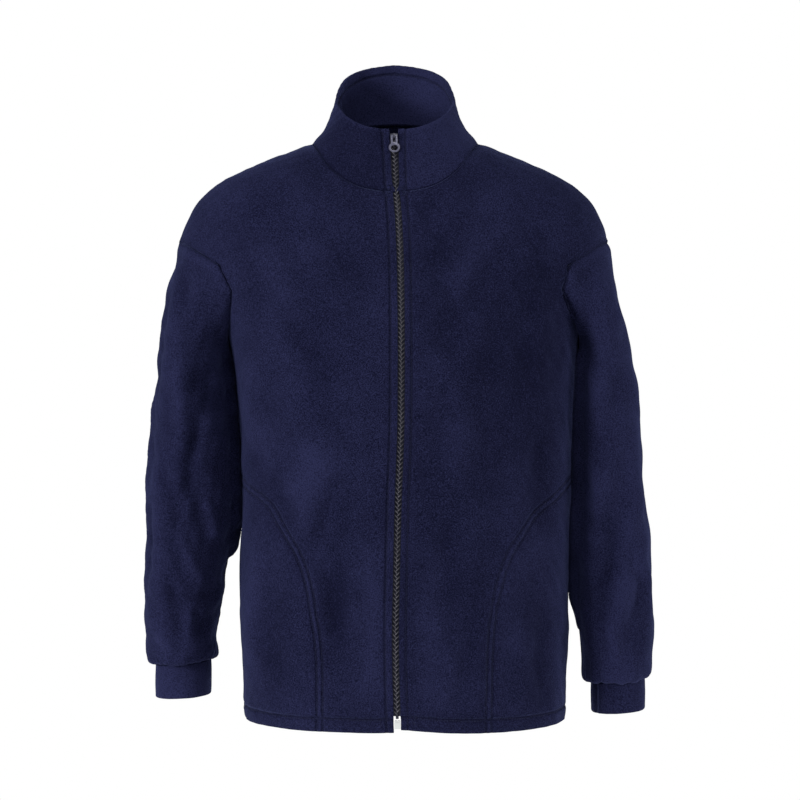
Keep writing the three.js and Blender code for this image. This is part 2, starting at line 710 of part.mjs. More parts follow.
// Keeps a sleeve beside the trunk, dented where the trunk presses it.
function clearOfTrunk(places, side) {
  places.slice(1).forEach((row, r) => {
    for (const place of row) {
      const point = place.point;
      const gap = blend(UNDERARM_STAND, SLEEVE_GAP, Math.min(r / 3, 1));
      const least = trunkSide(side, point.y, point.z) + gap;
      if (side * point.x < least) point.x = side * least;
    }
  });
}

function finishedSleeve(sleeve) {
  const places = sleevePlaces(sleeve);
  clearOfTrunk(places, sleeve.side);
  // The first row stands off the armhole seam: edge to edge over the top, and folded back
  // against the outside of the trunk under the arm.
  places[0].forEach((place, c) => {
    const round = (360 * c) / SLEEVE_COLUMNS;
    const under = easeInOut((120 - Math.abs(round - 180)) / 60);
    const trunkOut = armholePlace(sleeve.side, round).out;
    const toNext = places[1][c].point.clone().sub(place.point).normalize();
    place.out = trunkOut.clone().lerp(place.out, under).normalize();
    place.point.addScaledVector(toNext, blend(SEAM_GAP, 0.2, under));
    place.point.addScaledVector(trunkOut, UNDERARM_STAND * under);
  });
  return places;
}

const sleeves = { sleeve_left: SLEEVE_LEFT, sleeve_right: SLEEVE_RIGHT };
for (const [name, sleeve] of Object.entries(sleeves)) {
  addPiece(name, clothGeometry(finishedSleeve(sleeve), true), FLEECE);
}

// Cuffs: short tubes under the sleeve ends.
const CUFF_COLUMNS = 20;
const CUFF_ROWS = 4;
const CUFF_CLOTH = 3.4;
function cuffPlaces(sleeve) {
  const middle = (sleeve.cuffOuter + sleeve.cuffInner) / 2;
  const half = (sleeve.cuffOuter - sleeve.cuffInner) / 2;
  const top = sleeve.end - 1 - SEAM_GAP - 0.3;
  const rows = [];
  for (let r = 0; r < CUFF_ROWS; r += 1) {
    const t = r / (CUFF_ROWS - 1);
    const swell = 1 + 0.02 * Math.sin(Math.PI * t);
    const row = [];
    for (let c = 0; c < CUFF_COLUMNS; c += 1) {
      const round = (360 * c) / CUFF_COLUMNS;
      const across = Math.cos(round * DEGREE);
      const away = Math.sin(round * DEGREE);
      const x = sleeve.side * (middle + half * swell * signedPower(across, 0.92));
      const y = sleeve.curves.y(sleeve.end) - sleeve.cuffDepth * swell * signedPower(away, 0.92);
      const lean = sleeve.slope * across;
      const z = blend(top, sleeve.cuffEnd, t) + lean * blend(1, 0.6, t);
      const out = new THREE.Vector3(sleeve.side * across, -away, 0).normalize();
      row.push({ point: new THREE.Vector3(x, y, z), out, thickness: CUFF_CLOTH });
    }
    rows.push(row);
  }
  return rows;
}
addPiece("cuff_left", clothGeometry(cuffPlaces(SLEEVE_LEFT), true), FLEECE);
addPiece("cuff_right", clothGeometry(cuffPlaces(SLEEVE_RIGHT), true), FLEECE);

// The collar, from the neck seam up to its rim. Rise is 0 at the seam and 1 at the rim.
const COLLAR_ROWS = 6;
const COLLAR_WAIST = 7; // how far the sides draw in between the seam and the rim

// The neck seam's points, round from the left zip edge over the back to the right one.
// The panels' own edges are used, so the collar's seam meets them point for point.
function neckSeam() {
  const upper = (rows) => rows[rows.length - 1];
  const left = upper(leftFront).map((place, i) => ({ place, turn: -frontShare(i) }));
  const back = upper(backPanel).map((place, i) => ({ place, turn: backTurn(i) }));
  const right = upper(rightFront).map((place, i) => ({ place, turn: frontShare(i) }));
  const seam = [...left, ...back.slice(1, -1), ...right.reverse()];
  return seam.map(({ place, turn }) => ({ base: place.point.clone(), turn }));
}

const frontShare = (i) => blend(3.6, 90, i / (FRONT_COLUMNS - 1));
const backTurn = (i) => blend(-90, -270, i / (BACK_COLUMNS - 1));

function rimPoint(turn) {
  const wrapped = turn < -180 ? turn + 360 : turn;
  const away = Math.abs(wrapped);
  const side = Math.sign(wrapped) || 1;
  const nearZip = Math.max(0, 1 - (away - 3.6) / 60);
  const edge = zipLine.x(RIM[0].z) + side * (ZIP_TOP_HALF_GAP - rim.across(3.6));
  return new THREE.Vector3(side * rim.across(away) + edge * nearZip, rim.y(away), rim.z(away));
}

function collarRows() {
  const seam = neckSeam();
  const grid = [];
  for (let r = 0; r < COLLAR_ROWS; r += 1) {
    const rise = r / (COLLAR_ROWS - 1);
    grid.push(
      seam.map(({ base, turn }) => {
        const point = base.clone().lerp(rimPoint(turn), rise);
        const sideways = Math.sin(turn * DEGREE);
        const waist = COLLAR_WAIST * Math.sin(Math.PI * rise ** 0.7);
        point.x -= waist * sideways * Math.abs(sideways);
        return point;
      }),
    );
  }
  grid[0].forEach((point, c) => {
    point.addScaledVector(grid[1][c].clone().sub(point).normalize(), SEAM_GAP);
  });
  const last = seam.length - 1;
  return grid.map((row, r) =>
    row.map((point, c) => {
      const around = row[Math.min(c + 1, last)].clone().sub(row[Math.max(c - 1, 0)]);
      const above = grid[Math.min(r + 1, COLLAR_ROWS - 1)][c];
      const rising = above.clone().sub(grid[Math.max(r - 1, 0)][c]);
      return { point, out: rising.cross(around).normalize(), thickness: COLLAR_CLOTH };
    }),
  );
}
const collar = collarRows();
addPiece("collar", clothGeometry(collar, false), FLEECE);

// Pocket bags lie flat on the inside of the fronts, up to the curved rows of stitches.
const POCKET_COLUMNS = 8;
const POCKET_FIRST_ROW = 2;
const POCKET_SEAM_CLEAR = 2.5; // from the side seam

function pocketRows(front, side, table) {
  const edge = tableCurves(table, "z");
  const top = Math.max(...table.map((row) => row.z));
  const used = front.slice(POCKET_FIRST_ROW).filter((row) => row[0].point.z <= top + 4);
  return used.map((row) => {
    const reachOf = (place) => side * place.point.x;
    const wanted = edge.reach(row[0].point.z);
    const after = row.findIndex((place) => reachOf(place) > wanted);
    const before = row[after - 1];
    const t = (wanted - reachOf(before)) / (reachOf(row[after]) - reachOf(before));
    const from = after - 1 + t;
    const last = row.length - 1;
    const span = row[last].point.distanceTo(row[last - 1].point);
    const to = last - POCKET_SEAM_CLEAR / span;
    const places = [];
    for (let c = 0; c < POCKET_COLUMNS; c += 1) {
      const at = blend(from, to, c / (POCKET_COLUMNS - 1));
      const low = Math.min(Math.floor(at), last - 1);
      const point = row[low].point.clone().lerp(row[low + 1].point, at - low);
      const out = row[low].out.clone().lerp(row[low + 1].out, at - low).normalize();
      point.addScaledVector(out, -CLOTH - POCKET_GAP);
      places.push({ point, out, thickness: POCKET_CLOTH });
    }
    return places;
  });
}
addPiece("pocket_bag_left", clothGeometry(pocketRows(leftFront, -1, POCKET_LEFT), false), FLEECE);
addPiece("pocket_bag_right", clothGeometry(pocketRows(rightFront, 1, POCKET_RIGHT), false), FLEECE);

// The zip's stations, from the hem to the collar's rim: the two cloth edges, the way along
// the cloth from them, and the way out.
const TAPE_BEHIND = 0.7; // between the cloth's inner face and the tape
const TAPE_CLOTH = 1;
const TAPE_REACH = 10; // how far the tape runs behind the cloth
const TAPE_FROM_MIDDLE = 0.7;
const CHAIN_HALF = 3.2;
const CHAIN_SUNK = 0.5; // from the cloth's outer face to the chain's
const CHAIN_CLEAR = 0.35; // between the chain and the tape
const CHAIN_TOP_RISE = 0.862;

function zipStations() {
  const stations = [];
  const add = (left, right, depth) => {
    const middle = left[0].point.clone().add(right[0].point).multiplyScalar(0.5);
    const out = left[0].out.clone().add(right[0].out).normalize();
    const across = right[0].point.clone().sub(left[0].point);
    const half = across.length() / 2;
    const along = (row) => row[1].point.clone().sub(row[0].point).normalize();
    const station = { middle, out, half, depth, across: across.normalize() };
    stations.push({ ...station, leftAlong: along(left), rightAlong: along(right) });
  };
  const top = leftFront.length - 1;
  leftFront.forEach((row, r) => {
    add(row, rightFront[r], r === top ? COLLAR_CLOTH : row[0].thickness);
  });
  for (let r = 1; r < COLLAR_ROWS; r += 1) {
    const columns = collar[r].length;
    add(collar[r], [collar[r][columns - 1], collar[r][columns - 2]], COLLAR_CLOTH);
  }
  const last = stations[stations.length - 1];
  const under = stations[stations.length - 2];
  const share = 1 - (1 - CHAIN_TOP_RISE) * (COLLAR_ROWS - 1);
  const shortened = { ...last, middle: under.middle.clone().lerp(last.middle, share) };
  shortened.half = blend(under.half, last.half, share);
  return { stations, rim: last, upTo: [...stations.slice(0, -1), shortened] };
}
const zip = zipStations();

function tapeRows(side) {
  return zip.upTo.slice(2).map((station) => {
    const along = side < 0 ? station.leftAlong : station.rightAlong;
    const edge = station.middle.clone().addScaledVector(station.across, side * station.half);
    const depth = -station.depth - TAPE_BEHIND;
    return [-(station.half - TAPE_FROM_MIDDLE), 0, TAPE_REACH].map((reach) => {
      const direction = reach < 0 ? station.across.clone().multiplyScalar(side) : along;
      const point = edge.clone().addScaledVector(direction, reach);
      point.addScaledVector(station.out, depth);
      return { point, out: station.out, thickness: TAPE_CLOTH };
    });
  });
}
addPiece("zip_tape_left", clothGeometry(tapeRows(-1), false), TAPE);
addPiece("zip_tape_right", clothGeometry(tapeRows(1), false), TAPE);

const chainRows = zip.upTo.slice(1).map((station, r) => {
  const depth = r === 0 ? CLOTH : station.depth;
  return [-CHAIN_HALF, CHAIN_HALF].map((reach) => {
    const point = station.middle.clone().addScaledVector(station.across, reach);
    point.addScaledVector(station.out, -CHAIN_SUNK);
    const thickness = depth + TAPE_BEHIND - CHAIN_CLEAR - CHAIN_SUNK;
    return { point, out: station.out, thickness };
  });
});
addPiece("zip_chain", clothGeometry(chainRows, false), TEETH);

// The hard pieces are drawn on a board whose first axis runs across, whose second runs up
// along the zip and whose third runs out of the cloth.
function boardAt(origin, up, out) {
  const second = up.clone().normalize();
  const third = out.clone().addScaledVector(second, -out.dot(second)).normalize();
  const first = second.clone().cross(third).normalize();
  return new THREE.Matrix4().makeBasis(first, second, third).setPosition(origin);
}

function outline(points) {
  return new THREE.Shape(points.map(([x, y]) => new THREE.Vector2(x, y)));
}

function roundedOutline(left, right, low, high, radius, steps = 3) {
  const corners = [
    { x: right - radius, y: low + radius, from: -90 },
    { x: right - radius, y: high - radius, from: 0 },
    { x: left + radius, y: high - radius, from: 90 },
    { x: left + radius, y: low + radius, from: 180 },
  ];
  const points = [];
  for (const corner of corners) {
    for (let i = 0; i <= steps; i += 1) {
      const angle = (corner.from + (90 * i) / steps) * DEGREE;
      const x = corner.x + radius * Math.cos(angle);
      points.push([x, corner.y + radius * Math.sin(angle)]);
    }
  }
  return points;
}

function extruded(shape, from, to) {
  const options = { depth: to - from, bevelEnabled: false };
  return new THREE.ExtrudeGeometry(shape, options).translate(0, 0, from);
}

const manifold = await Module();
manifold.setup();

function solidOf(geometry) {
  const bare = new THREE.BufferGeometry();
  const loose = geometry.index ? geometry.toNonIndexed() : geometry;
  bare.setAttribute("position", loose.getAttribute("position"));
  const merged = mergeVertices(bare, 1e-4);
  return new manifold.Manifold(
    new manifold.Mesh({
      numProp: 3,
      vertProperties: merged.attributes.position.array,
      triVerts: new Uint32Array(merged.index.array),
    }),
  );
}

function joined(geometries) {
  const whole = manifold.Manifold.union(geometries.map(solidOf)).getMesh();
  const geometry = new THREE.BufferGeometry();
  geometry.setAttribute("position", new THREE.Float32BufferAttribute(whole.vertProperties, 3));
  geometry.setIndex(Array.from(whole.triVerts));
  return geometry;
}

// Turns a side view drawn as (out, up) so that it is extruded across.
const SIDE_VIEW = new THREE.Matrix4().makeBasis(
  new THREE.Vector3(0, 0, 1),
  new THREE.Vector3(0, 1, 0),
  new THREE.Vector3(-1, 0, 0),
);

const zipUp = zip.stations[zip.stations.length - 1].middle
  .clone()
  .sub(zip.stations[zip.stations.length - 2].middle);
const sliderBoard = boardAt(zip.rim.middle, zipUp, zip.rim.out);

// The slider: a crown over the top of the teeth, with a plate before and behind them, and a
// bridge that holds the pull. Its top is a little way under the collar's rim.
const SLIDER = { half: 4.3, top: -6.6, under: -9.3, foot: -18.4, face: 0.3, front: 2 };
const SLIDER_BACK_FACE = -(COLLAR_CLOTH + TAPE_BEHIND + TAPE_CLOTH + 0.4);
const SLIDER_BACK = SLIDER_BACK_FACE - 1.4;
const BRIDGE = { half: 1.1, low: -14.8, high: -8.2, front: 6.6, bar: 1.2 };
const HINGE = { up: -11.5, out: 3.8 };

const sliderSide = outline([
  [SLIDER.front, SLIDER.foot],
  [SLIDER.front, SLIDER.top - 0.8],
  [SLIDER.front - 0.8, SLIDER.top],
  [SLIDER_BACK + 0.6, SLIDER.top],
  [SLIDER_BACK, SLIDER.top - 0.6],
  [SLIDER_BACK, SLIDER.foot],
  [SLIDER_BACK_FACE, SLIDER.foot],
  [SLIDER_BACK_FACE, SLIDER.under],
  [SLIDER.face, SLIDER.under],
  [SLIDER.face, SLIDER.foot],
]);
const bridgeSide = outline(
  roundedOutline(SLIDER.front - 0.6, BRIDGE.front, BRIDGE.low, BRIDGE.high, 1.4),
);
const bridgeHole = roundedOutline(
  SLIDER.front + 0.1,
  BRIDGE.front - BRIDGE.bar,
  BRIDGE.low + BRIDGE.bar,
  BRIDGE.high - BRIDGE.bar,
  0.8,
);
bridgeSide.holes.push(outline(bridgeHole.reverse()));
const sliderBody = extruded(sliderSide, -SLIDER.half, SLIDER.half).applyMatrix4(SIDE_VIEW);
const sliderBridge = extruded(bridgeSide, -BRIDGE.half, BRIDGE.half).applyMatrix4(SIDE_VIEW);
const sliderGeometry = joined([sliderBody, sliderBridge]).applyMatrix4(sliderBoard);
addPiece("zip_slider", sliderGeometry, PULL);

// The pull: a frame round the bridge above, and a ring with an oval hole below. It is drawn
// hanging from its hinge and leans in until the ring is close to the cloth.
const PULL_THICK = 1.6;
const PULL_LEAN = 6; // degrees, in towards the cloth
const PULL_FRAME = { half: 4, top: 1.05, low: -9.6, windowHalf: 1.75, windowLow: -7.8 };
const PULL_RING = { y: -14.2, halfWide: 6.8, halfTall: 6.3, holeWide: 4.3, holeTall: 3.6 };

function ellipsePoints(halfWide, halfTall, y, steps) {
  const points = [];
  for (let i = 0; i < steps; i += 1) {
    const angle = (2 * Math.PI * i) / steps;
    points.push([halfWide * Math.cos(angle), y + halfTall * Math.sin(angle)]);
  }
  return points;
}

const frameShape = outline(
  roundedOutline(-PULL_FRAME.half, PULL_FRAME.half, PULL_FRAME.low, PULL_FRAME.top, 0.9, 2),
);
const frameWindow = roundedOutline(
  -PULL_FRAME.windowHalf,
  PULL_FRAME.windowHalf,
  PULL_FRAME.windowLow,
  -PULL_FRAME.top,
  0.5,
  1,
);
frameShape.holes.push(outline(frameWindow.reverse()));
const ringShape = outline(ellipsePoints(PULL_RING.halfWide, PULL_RING.halfTall, PULL_RING.y, 20));
const ringHole = ellipsePoints(PULL_RING.holeWide, PULL_RING.holeTall, PULL_RING.y - 0.6, 16);
ringShape.holes.push(outline(ringHole.reverse()));
const pullParts = [frameShape, ringShape].map((shape) =>
  extruded(shape, -PULL_THICK / 2, PULL_THICK / 2),
);
const pullGeometry = joined(pullParts)
  .rotateX(PULL_LEAN * DEGREE)
  .translate(0, HINGE.up, HINGE.out)
  .applyMatrix4(sliderBoard);
addPiece("zip_pull", pullGeometry, PULL);

// The retainer box at the foot of the zip, with two lobes over it.
const BOX_BOARD = boardAt(
  zip.stations[0].middle.clone().lerp(zip.stations[1].middle, 0.2),
  zip.stations[1].middle.clone().sub(zip.stations[0].middle),
  zip.stations[0].out,
);
const BOX_SIZE = { half: 3.6, tall: 7.2, lobe: 1.75, back: -3.6, front: 0.8 };
const boxParts = [
  extruded(
    outline(roundedOutline(-BOX_SIZE.half, BOX_SIZE.half, 0, BOX_SIZE.tall, 1)),
    BOX_SIZE.back,
    BOX_SIZE.front,
  ),
];
for (const side of [-1, 1]) {
  const lobe = ellipsePoints(BOX_SIZE.lobe, BOX_SIZE.lobe + 0.6, BOX_SIZE.tall + 0.6, 12);
  const moved = lobe.map(([x, y]) => [x + side * BOX_SIZE.lobe * 0.98, y]);
  boxParts.push(extruded(outline(moved), BOX_SIZE.back + 0.6, BOX_SIZE.front - 0.3));
}
addPiece("zip_box", joined(boxParts).applyMatrix4(BOX_BOARD), BOX);

export default jacket;
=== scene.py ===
"""A fleece zip jacket, filled out as worn. Metres, Z up, X to the right of the photo, the front faces -Y."""

import math

import bmesh
import bpy
import numpy as np
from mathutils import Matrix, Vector
from mathutils.bvhtree import BVHTree
from mathutils.kdtree import KDTree


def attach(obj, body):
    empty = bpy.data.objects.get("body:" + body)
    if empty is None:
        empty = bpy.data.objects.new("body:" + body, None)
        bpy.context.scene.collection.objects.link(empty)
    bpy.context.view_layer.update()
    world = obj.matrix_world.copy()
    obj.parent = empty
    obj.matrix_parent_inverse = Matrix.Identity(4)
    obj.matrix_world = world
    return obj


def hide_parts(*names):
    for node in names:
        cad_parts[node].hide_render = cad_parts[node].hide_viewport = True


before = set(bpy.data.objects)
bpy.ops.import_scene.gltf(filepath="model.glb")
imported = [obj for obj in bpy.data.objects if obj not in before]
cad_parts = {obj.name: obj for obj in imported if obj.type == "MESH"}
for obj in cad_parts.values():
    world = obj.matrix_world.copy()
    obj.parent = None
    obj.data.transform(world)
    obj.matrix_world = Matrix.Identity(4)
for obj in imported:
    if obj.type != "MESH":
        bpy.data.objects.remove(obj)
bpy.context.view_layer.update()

MM = 0.001
FINE = 3

# The sewn pieces: thickness of the cloth in millimetres, the flat cut of what shows in metres
# (width, length, area), and what each one hangs from.
SHEETS = {
    "front_left": (2.6, 0.30, 0.735, 0.195, ["collar", "back"]),
    "front_right": (2.6, 0.31, 0.735, 0.200, ["collar", "back"]),
    "back": (2.6, 0.60, 0.745, 0.412, ["collar"]),
    "sleeve_left": (2.6, 0.46, 0.50, 0.187, ["front_left", "back"]),
    "sleeve_right": (2.6, 0.46, 0.50, 0.184, ["front_right", "back"]),
    "cuff_left": (3.4, 0.205, 0.054, 0.0103, ["sleeve_left"]),
    "cuff_right": (3.4, 0.195, 0.054, 0.0096, ["sleeve_right"]),
    "collar": (4.2, 0.47, 0.105, 0.0385, ["back"]),
    "pocket_bag_left": (1.2, 0.185, 0.285, 0.0425, ["front_left"]),
    "pocket_bag_right": (1.2, 0.185, 0.285, 0.0450, ["front_right"]),
}
# Sizes and places are in millimetres, up to the studio. The hem: its thickness and its height.
HEM_THICK = 4.8
HEM_TURN_UP = 16.0
# Edges below these heights are the hem and the sleeves' ends, and nearer than this to the zip's
# middle a front's edge belongs to the zip.
HEM_EDGE = -690.0
SLEEVE_END = -600.0
ZIP_EDGE = 6.6
# The rows of stitches: in from the zip's edges and from the collar's rim, and between both pocket rows.
ZIP_ROW = 8.2
COLLAR_ROW = 12.0
ROW_APART = 7.0
# How much deeper and wider the creases are than their lists say.
CREASE_DEPTH = 2.8
CREASE_WIDTH = 1.25
# A crease in shares of its own size: how far aside it wanders, and how high, how far off and how
# wide the opposite swelling on one side of it is.
CREASE_WANDER = 0.45
CREASE_BANK = (-0.38, 1.9, 1.1)
# How sharply a face's creases end where the cloth turns away from it, on the trunk and on a sleeve.
TRUNK_TURN = 2.2
SLEEVE_TURN = 1.8
# Beside the zip the front is flat as far as the first of these, and creased in full from the second.
FLAT_AT_ZIP = 14.0
CREASED_FROM_ZIP = 46.0
# Sunk lines: how wide and how deep.
SEAM_DIP = (4.5, 2.1)
ROW_DIP = (2.6, 1.1)
INNER_ROW_DIP = (2.6, 0.6)
SLEEVE_SEAM_DIP = (2.2, 1.0)
CUFF_SEAM_DIP = (1.8, 0.8)
# How far beside a seam it holds the cloth flat, how much narrower than a row's its groove is, how
# high the hem bulges, and over what distance its turn-up ends.
SEAM_HOLD = 13.0
SEAM_NARROW = 1.3
HEM_BULGE = 0.5
HEM_FADE = 3.0
# Swellings along a line: how high, how far from the line, and how wide. Those of painted light and
# shade say how much lighter (above 0) or darker the colour is painted there.
ARMHOLE_SWELL = (1.1, 9, 6)
CUFF_SWELL = (0.9, 15, 9)
CUFF_GATHERS = (0.55, 0, 17)
ZIP_EDGE_SWELL = (0.4, 4, 3)
POCKET_CREST = (0.35, ROW_APART / 2, 2.4)
SEAM_PAINTED_SHADE = (-4.0, 0, 2.6)
ARMHOLE_PAINTED_LIGHT = (2.0, 8, 5)
RIM_PAINTED_LIGHT = (2.8, 0, 3.5)
# The gathers round a sleeve's end: how many broad and fine ones, how high the fine ones are against
# the broad ones, and how unevenly the broad ones are spread.
GATHERS = 13
FINE_GATHERS = 21
FINE_SHARE = 0.6
GATHER_SPREAD = 1.7
# Puckers along a line: how high, how wide each is, the seed of their draws, how far from the line,
# and how wide the stretch of them is.
SEAM_PUCKER = (0.34, 8, 51, 7, 6)
HEM_PUCKER = (0.3, 11, 52, 0, 9)
POCKET_PUCKER = (0.25, 10, 53, ROW_APART / 2, 10)
RIM_PUCKER = (0.22, 12, 54, 0, 9)
# Low unevenness of the cloth: how high, how wide its bumps are, and the seed of their draws.
UNEVEN = {
    "trunk": [(0.4, 62, 11), (0.18, 24, 12)],
    "sleeve": [(0.5, 46, 23), (0.25, 20, 27)],
    "collar": [(0.5, 40, 31), (0.2, 16, 32)],
    "cuff": [(0.3, 24, 41), (0.12, 9, 42)],
}
# A sleeve's middle, across and in depth, and the collar's, across.
SLEEVE_MIDDLE = (262.0, -30.0)
COLLAR_MIDDLE = 2.0
# The collar's painted light and shade: its front starts that far forward, each change takes the fade,
# the right is painted lighter than the left, the front in all painted darker, and the inside lighter than
# the back.
COLLAR_FRONT = 20.0
COLLAR_FADE = 30.0
COLLAR_RIGHT_PAINTED_LIGHT = 2.2
COLLAR_FRONT_PAINTED_SHADE = -1.3
COLLAR_INSIDE_PAINTED_LIGHT = 2.6
# The sleeves' inner sides rest on the body: the gap that stays, the heights between which they do,
# how near they hang for that, over what distances it sets in, and how squarely they face the body.
LAY_GAP = 0.5
LAY_FROM = -236.0
LAY_TO = -600.0
LAY_REACH = 14.0
LAY_SOFT = 5.0
LAY_SOFT_HIGH = 26.0
LAY_FACING = 0.3
# Edges that are sewn to each other: how often they are drawn together, from how far, how far they
# overlap, how far in the cloth follows, how far, how often and how much it is smoothed beside them,
# and how much nearer an edge must be to count more.
SEAM_ROUNDS = 4
SEAM_CATCH = 11.0
SEAM_OVERLAP = 0.9
SEAM_FOLLOW = 7.0
SEAM_EASE = 8.0
EASE_ROUNDS = 3 * FINE
EASE_SHARE = 0.9
SEAM_SHARE = 1.5
# Places of one edge, or of one row of stitches, that are further apart than this don't follow each
# other. FAR stands for the distance to a line that isn't there.
EDGE_BREAK = 20.0
ROW_BREAK = 22.0
FAR = 99.0
# Radius of the rounded edges of the doubled pieces and of the others.
LIP_DOUBLED = 1.6
LIP = 0.9
DOUBLED = ("collar", "cuff_left", "cuff_right")

# The middle of the zip, seen from the front: height and place across, in millimetres.
ZIP_MIDDLE = [
    (-720, 3.4), (-690, 3), (-640, 1.4), (-590, 0.8), (-540, 1.8), (-480, 3), (-421, 4.4),
    (-350, 7.4), (-250, 7.8), (-160, 7), (-113, 5.2), (-89, 4), (-65, 1.6), (-20, 0), (4, -1),
]

# Soft creases of the trunk in millimetres: face (-1 front, 1 back), both ends, width and height
# (below 0 a trough, above it a ridge).
TRUNK_CREASES = [
    # face, x1, z1, x2, z2, wide, high
    (-1, -168, -128, -96, -232, 15, 1.6),
    (-1, -132, -196, -66, -300, 13, -1.5),
    (-1, -104, -92, -24, -186, 14, -1.2),
    (-1, -150, -300, -98, -392, 14, -1.3),
    (-1, -62, -286, -28, -372, 12, 1.1),
    (-1, -176, -260, -168, -392, 12, 1.2),
    (-1, -120, -392, -92, -470, 12, 1.2),
    (-1, -70, -404, -88, -500, 10, -1.7),
    (-1, -84, -500, -70, -606, 10, -1.3),
    (-1, -44, -500, -52, -640, 11, 1.4),
    (-1, -146, -520, -138, -660, 12, -1.2),
    (-1, -168, -470, -172, -640, 10, 1.0),
    (-1, 150, -96, 62, -186, 14, 1.7),
    (-1, 112, -166, 46, -262, 13, -1.4),
    (-1, 186, -170, 172, -330, 12, 1.5),
    (-1, 122, -210, 112, -372, 16, -1.6),
    (-1, 84, -300, 62, -430, 15, 1.1),
    (-1, 174, -350, 166, -480, 12, -1.5),
    (-1, 70, -440, 52, -560, 12, -1.1),
    (-1, 104, -560, 96, -690, 11, 1.3),
    (-1, 140, -450, 134, -560, 12, 1.2),
    (-1, 60, -590, 64, -690, 10, 1.1),
    (-1, 172, -560, 178, -690, 10, -1.3),
    (-1, 30, -106, 52, -60, 9, -0.9),
    (-1, -28, -104, -60, -52, 9, -0.9),
    (1, -150, -120, -84, -250, 15, 1.8),
    (1, 152, -118, 90, -246, 15, 1.7),
    (1, -104, -210, -60, -330, 13, -1.6),
    (1, 100, -230, 60, -340, 13, -1.5),
    (1, -168, -240, -156, -400, 13, -1.7),
    (1, 170, -250, 156, -420, 13, 1.6),
    (1, -24, -300, -34, -470, 14, 1.3),
    (1, 34, -330, 24, -500, 13, -1.4),
    (1, -110, -430, -98, -620, 13, 1.6),
    (1, 96, -440, 108, -640, 13, -1.7),
    (1, -6, -520, 4, -690, 12, 1.5),
    (1, -170, -500, -164, -680, 12, -1.6),
    (1, 172, -520, 168, -690, 12, 1.5),
    (1, -40, -64, 40, -60, 16, -1.0),
    (-1, 142, -86, 74, -340, 34, -0.8),
    (-1, -112, -290, -66, -430, 34, 0.7),
    (-1, 70, -470, 124, -680, 34, -0.6),
    (-1, -150, -560, -130, -700, 30, -0.5),
]
# The same for the sleeves: side (-1 left, 1 right), face (-1 front, 1 back, 0 outer side, 2 inner side),
# both ends across and in height, width and height. On the sides across is y.
SLEEVE_CREASES = [
    # side, face, a1, z1, a2, z2, wide, high
    (-1, -1, -262, -150, -240, -262, 12, -1.6),
    (-1, -1, -254, -250, -262, -372, 10, 1.4),
    (-1, -1, -236, -330, -248, -440, 8, -1.5),
    (-1, -1, -282, -380, -262, -470, 9, -1.5),
    (-1, -1, -228, -430, -206, -500, 7, 1.5),
    (-1, -1, -262, -470, -230, -552, 8, 1.4),
    (-1, -1, -284, -520, -262, -600, 8, -1.6),
    (-1, -1, -246, -566, -226, -622, 7, -1.6),
    (-1, -1, -290, -596, -270, -628, 7, 1.4),
    (-1, 0, -60, -180, -30, -330, 13, -1.6),
    (-1, 0, 0, -300, -26, -440, 11, 1.7),
    (-1, 0, -52, -430, -34, -560, 10, -1.7),
    (-1, 0, 12, -480, -6, -600, 10, -1.6),
    (-1, 1, -262, -160, -250, -300, 12, 1.5),
    (-1, 1, -276, -330, -252, -440, 10, -1.7),
    (-1, 1, -232, -450, -256, -560, 9, 1.6),
    (-1, 1, -282, -560, -262, -622, 8, -1.5),
    (1, -1, 262, -142, 246, -262, 12, 1.6),
    (1, -1, 268, -250, 262, -380, 10, -1.5),
    (1, -1, 288, -330, 292, -500, 9, 1.6),
    (1, -1, 246, -400, 244, -500, 8, 1.4),
    (1, -1, 268, -470, 250, -600, 9, -1.6),
    (1, -1, 300, -520, 286, -626, 8, -1.5),
    (1, -1, 262, -580, 272, -640, 7, 1.4),
    (1, 0, -54, -190, -36, -340, 13, 1.6),
    (1, 0, -10, -320, -34, -470, 11, -1.8),
    (1, 0, -56, -460, -40, -600, 10, 1.6),
    (1, 1, 268, -170, 256, -310, 12, -1.6),
    (1, 1, 288, -330, 266, -450, 10, 1.6),
    (1, 1, 250, -470, 274, -590, 9, -1.7),
    (1, 1, 300, -560, 286, -630, 8, 1.5),
]
# Painted light and shade over each whole piece, standing in for how the light falls on it: above 0 it is
# painted lighter.
PAINTED_SHADING_BASE = {
    "front_left": -0.3, "front_right": -0.8, "sleeve_right": 1.1,
    "cuff_left": 2.6, "cuff_right": 1.2, "collar": 1.2,
}
# How much painted light a crease's ridge and painted shade its trough get at most.
PAINTED_SHADING_LIMIT = 1.8
# Bands of painted light and shade along folds on the faces that look forward: both ends across and in
# height, width, and how much lighter (above 0) or darker it is painted.
PAINTED_FOLD_BANDS = {
    "front_left": [
        (-120, -58, -190, -100, 22, -1.6), (-70, -190, -140, -300, 24, -1.3),
        (-72, -345, -118, -450, 18, 1.8), (-184, -340, -150, -405, 12, 1.2),
        (-56, -400, -70, -600, 11, -1.8), (-28, -480, -34, -670, 13, 3.4),
        (-150, -540, -142, -700, 20, -1.8),
    ],
    "front_right": [
        (135, -60, 80, -125, 14, 1.4), (30, -76, 58, -165, 10, -1.2), (70, -160, 92, -225, 12, 1.0),
        (186, -104, 170, -380, 20, -3.4), (146, -110, 128, -340, 26, -1.5), (96, -230, 76, -350, 22, -1.2),
        (204, -350, 200, -440, 9, 1.2), (176, -451, 160, -530, 12, 1.2),
        (40, -480, 44, -690, 15, 2.8), (100, -510, 104, -670, 10, -1.6), (160, -540, 166, -690, 18, -1.8),
    ],
    "sleeve_left": [
        (-222, -230, -226, -370, 10, 2.0), (-250, -150, -262, -260, 12, 1.2),
        (-276, -400, -270, -540, 10, -1.4),
    ],
    "sleeve_right": [
        (262, -190, 282, -420, 16, 1.8), (250, -420, 262, -560, 9, -1.5),
        (286, -430, 282, -600, 12, 1.5), (308, -500, 304, -640, 8, -2.2),
    ],
}
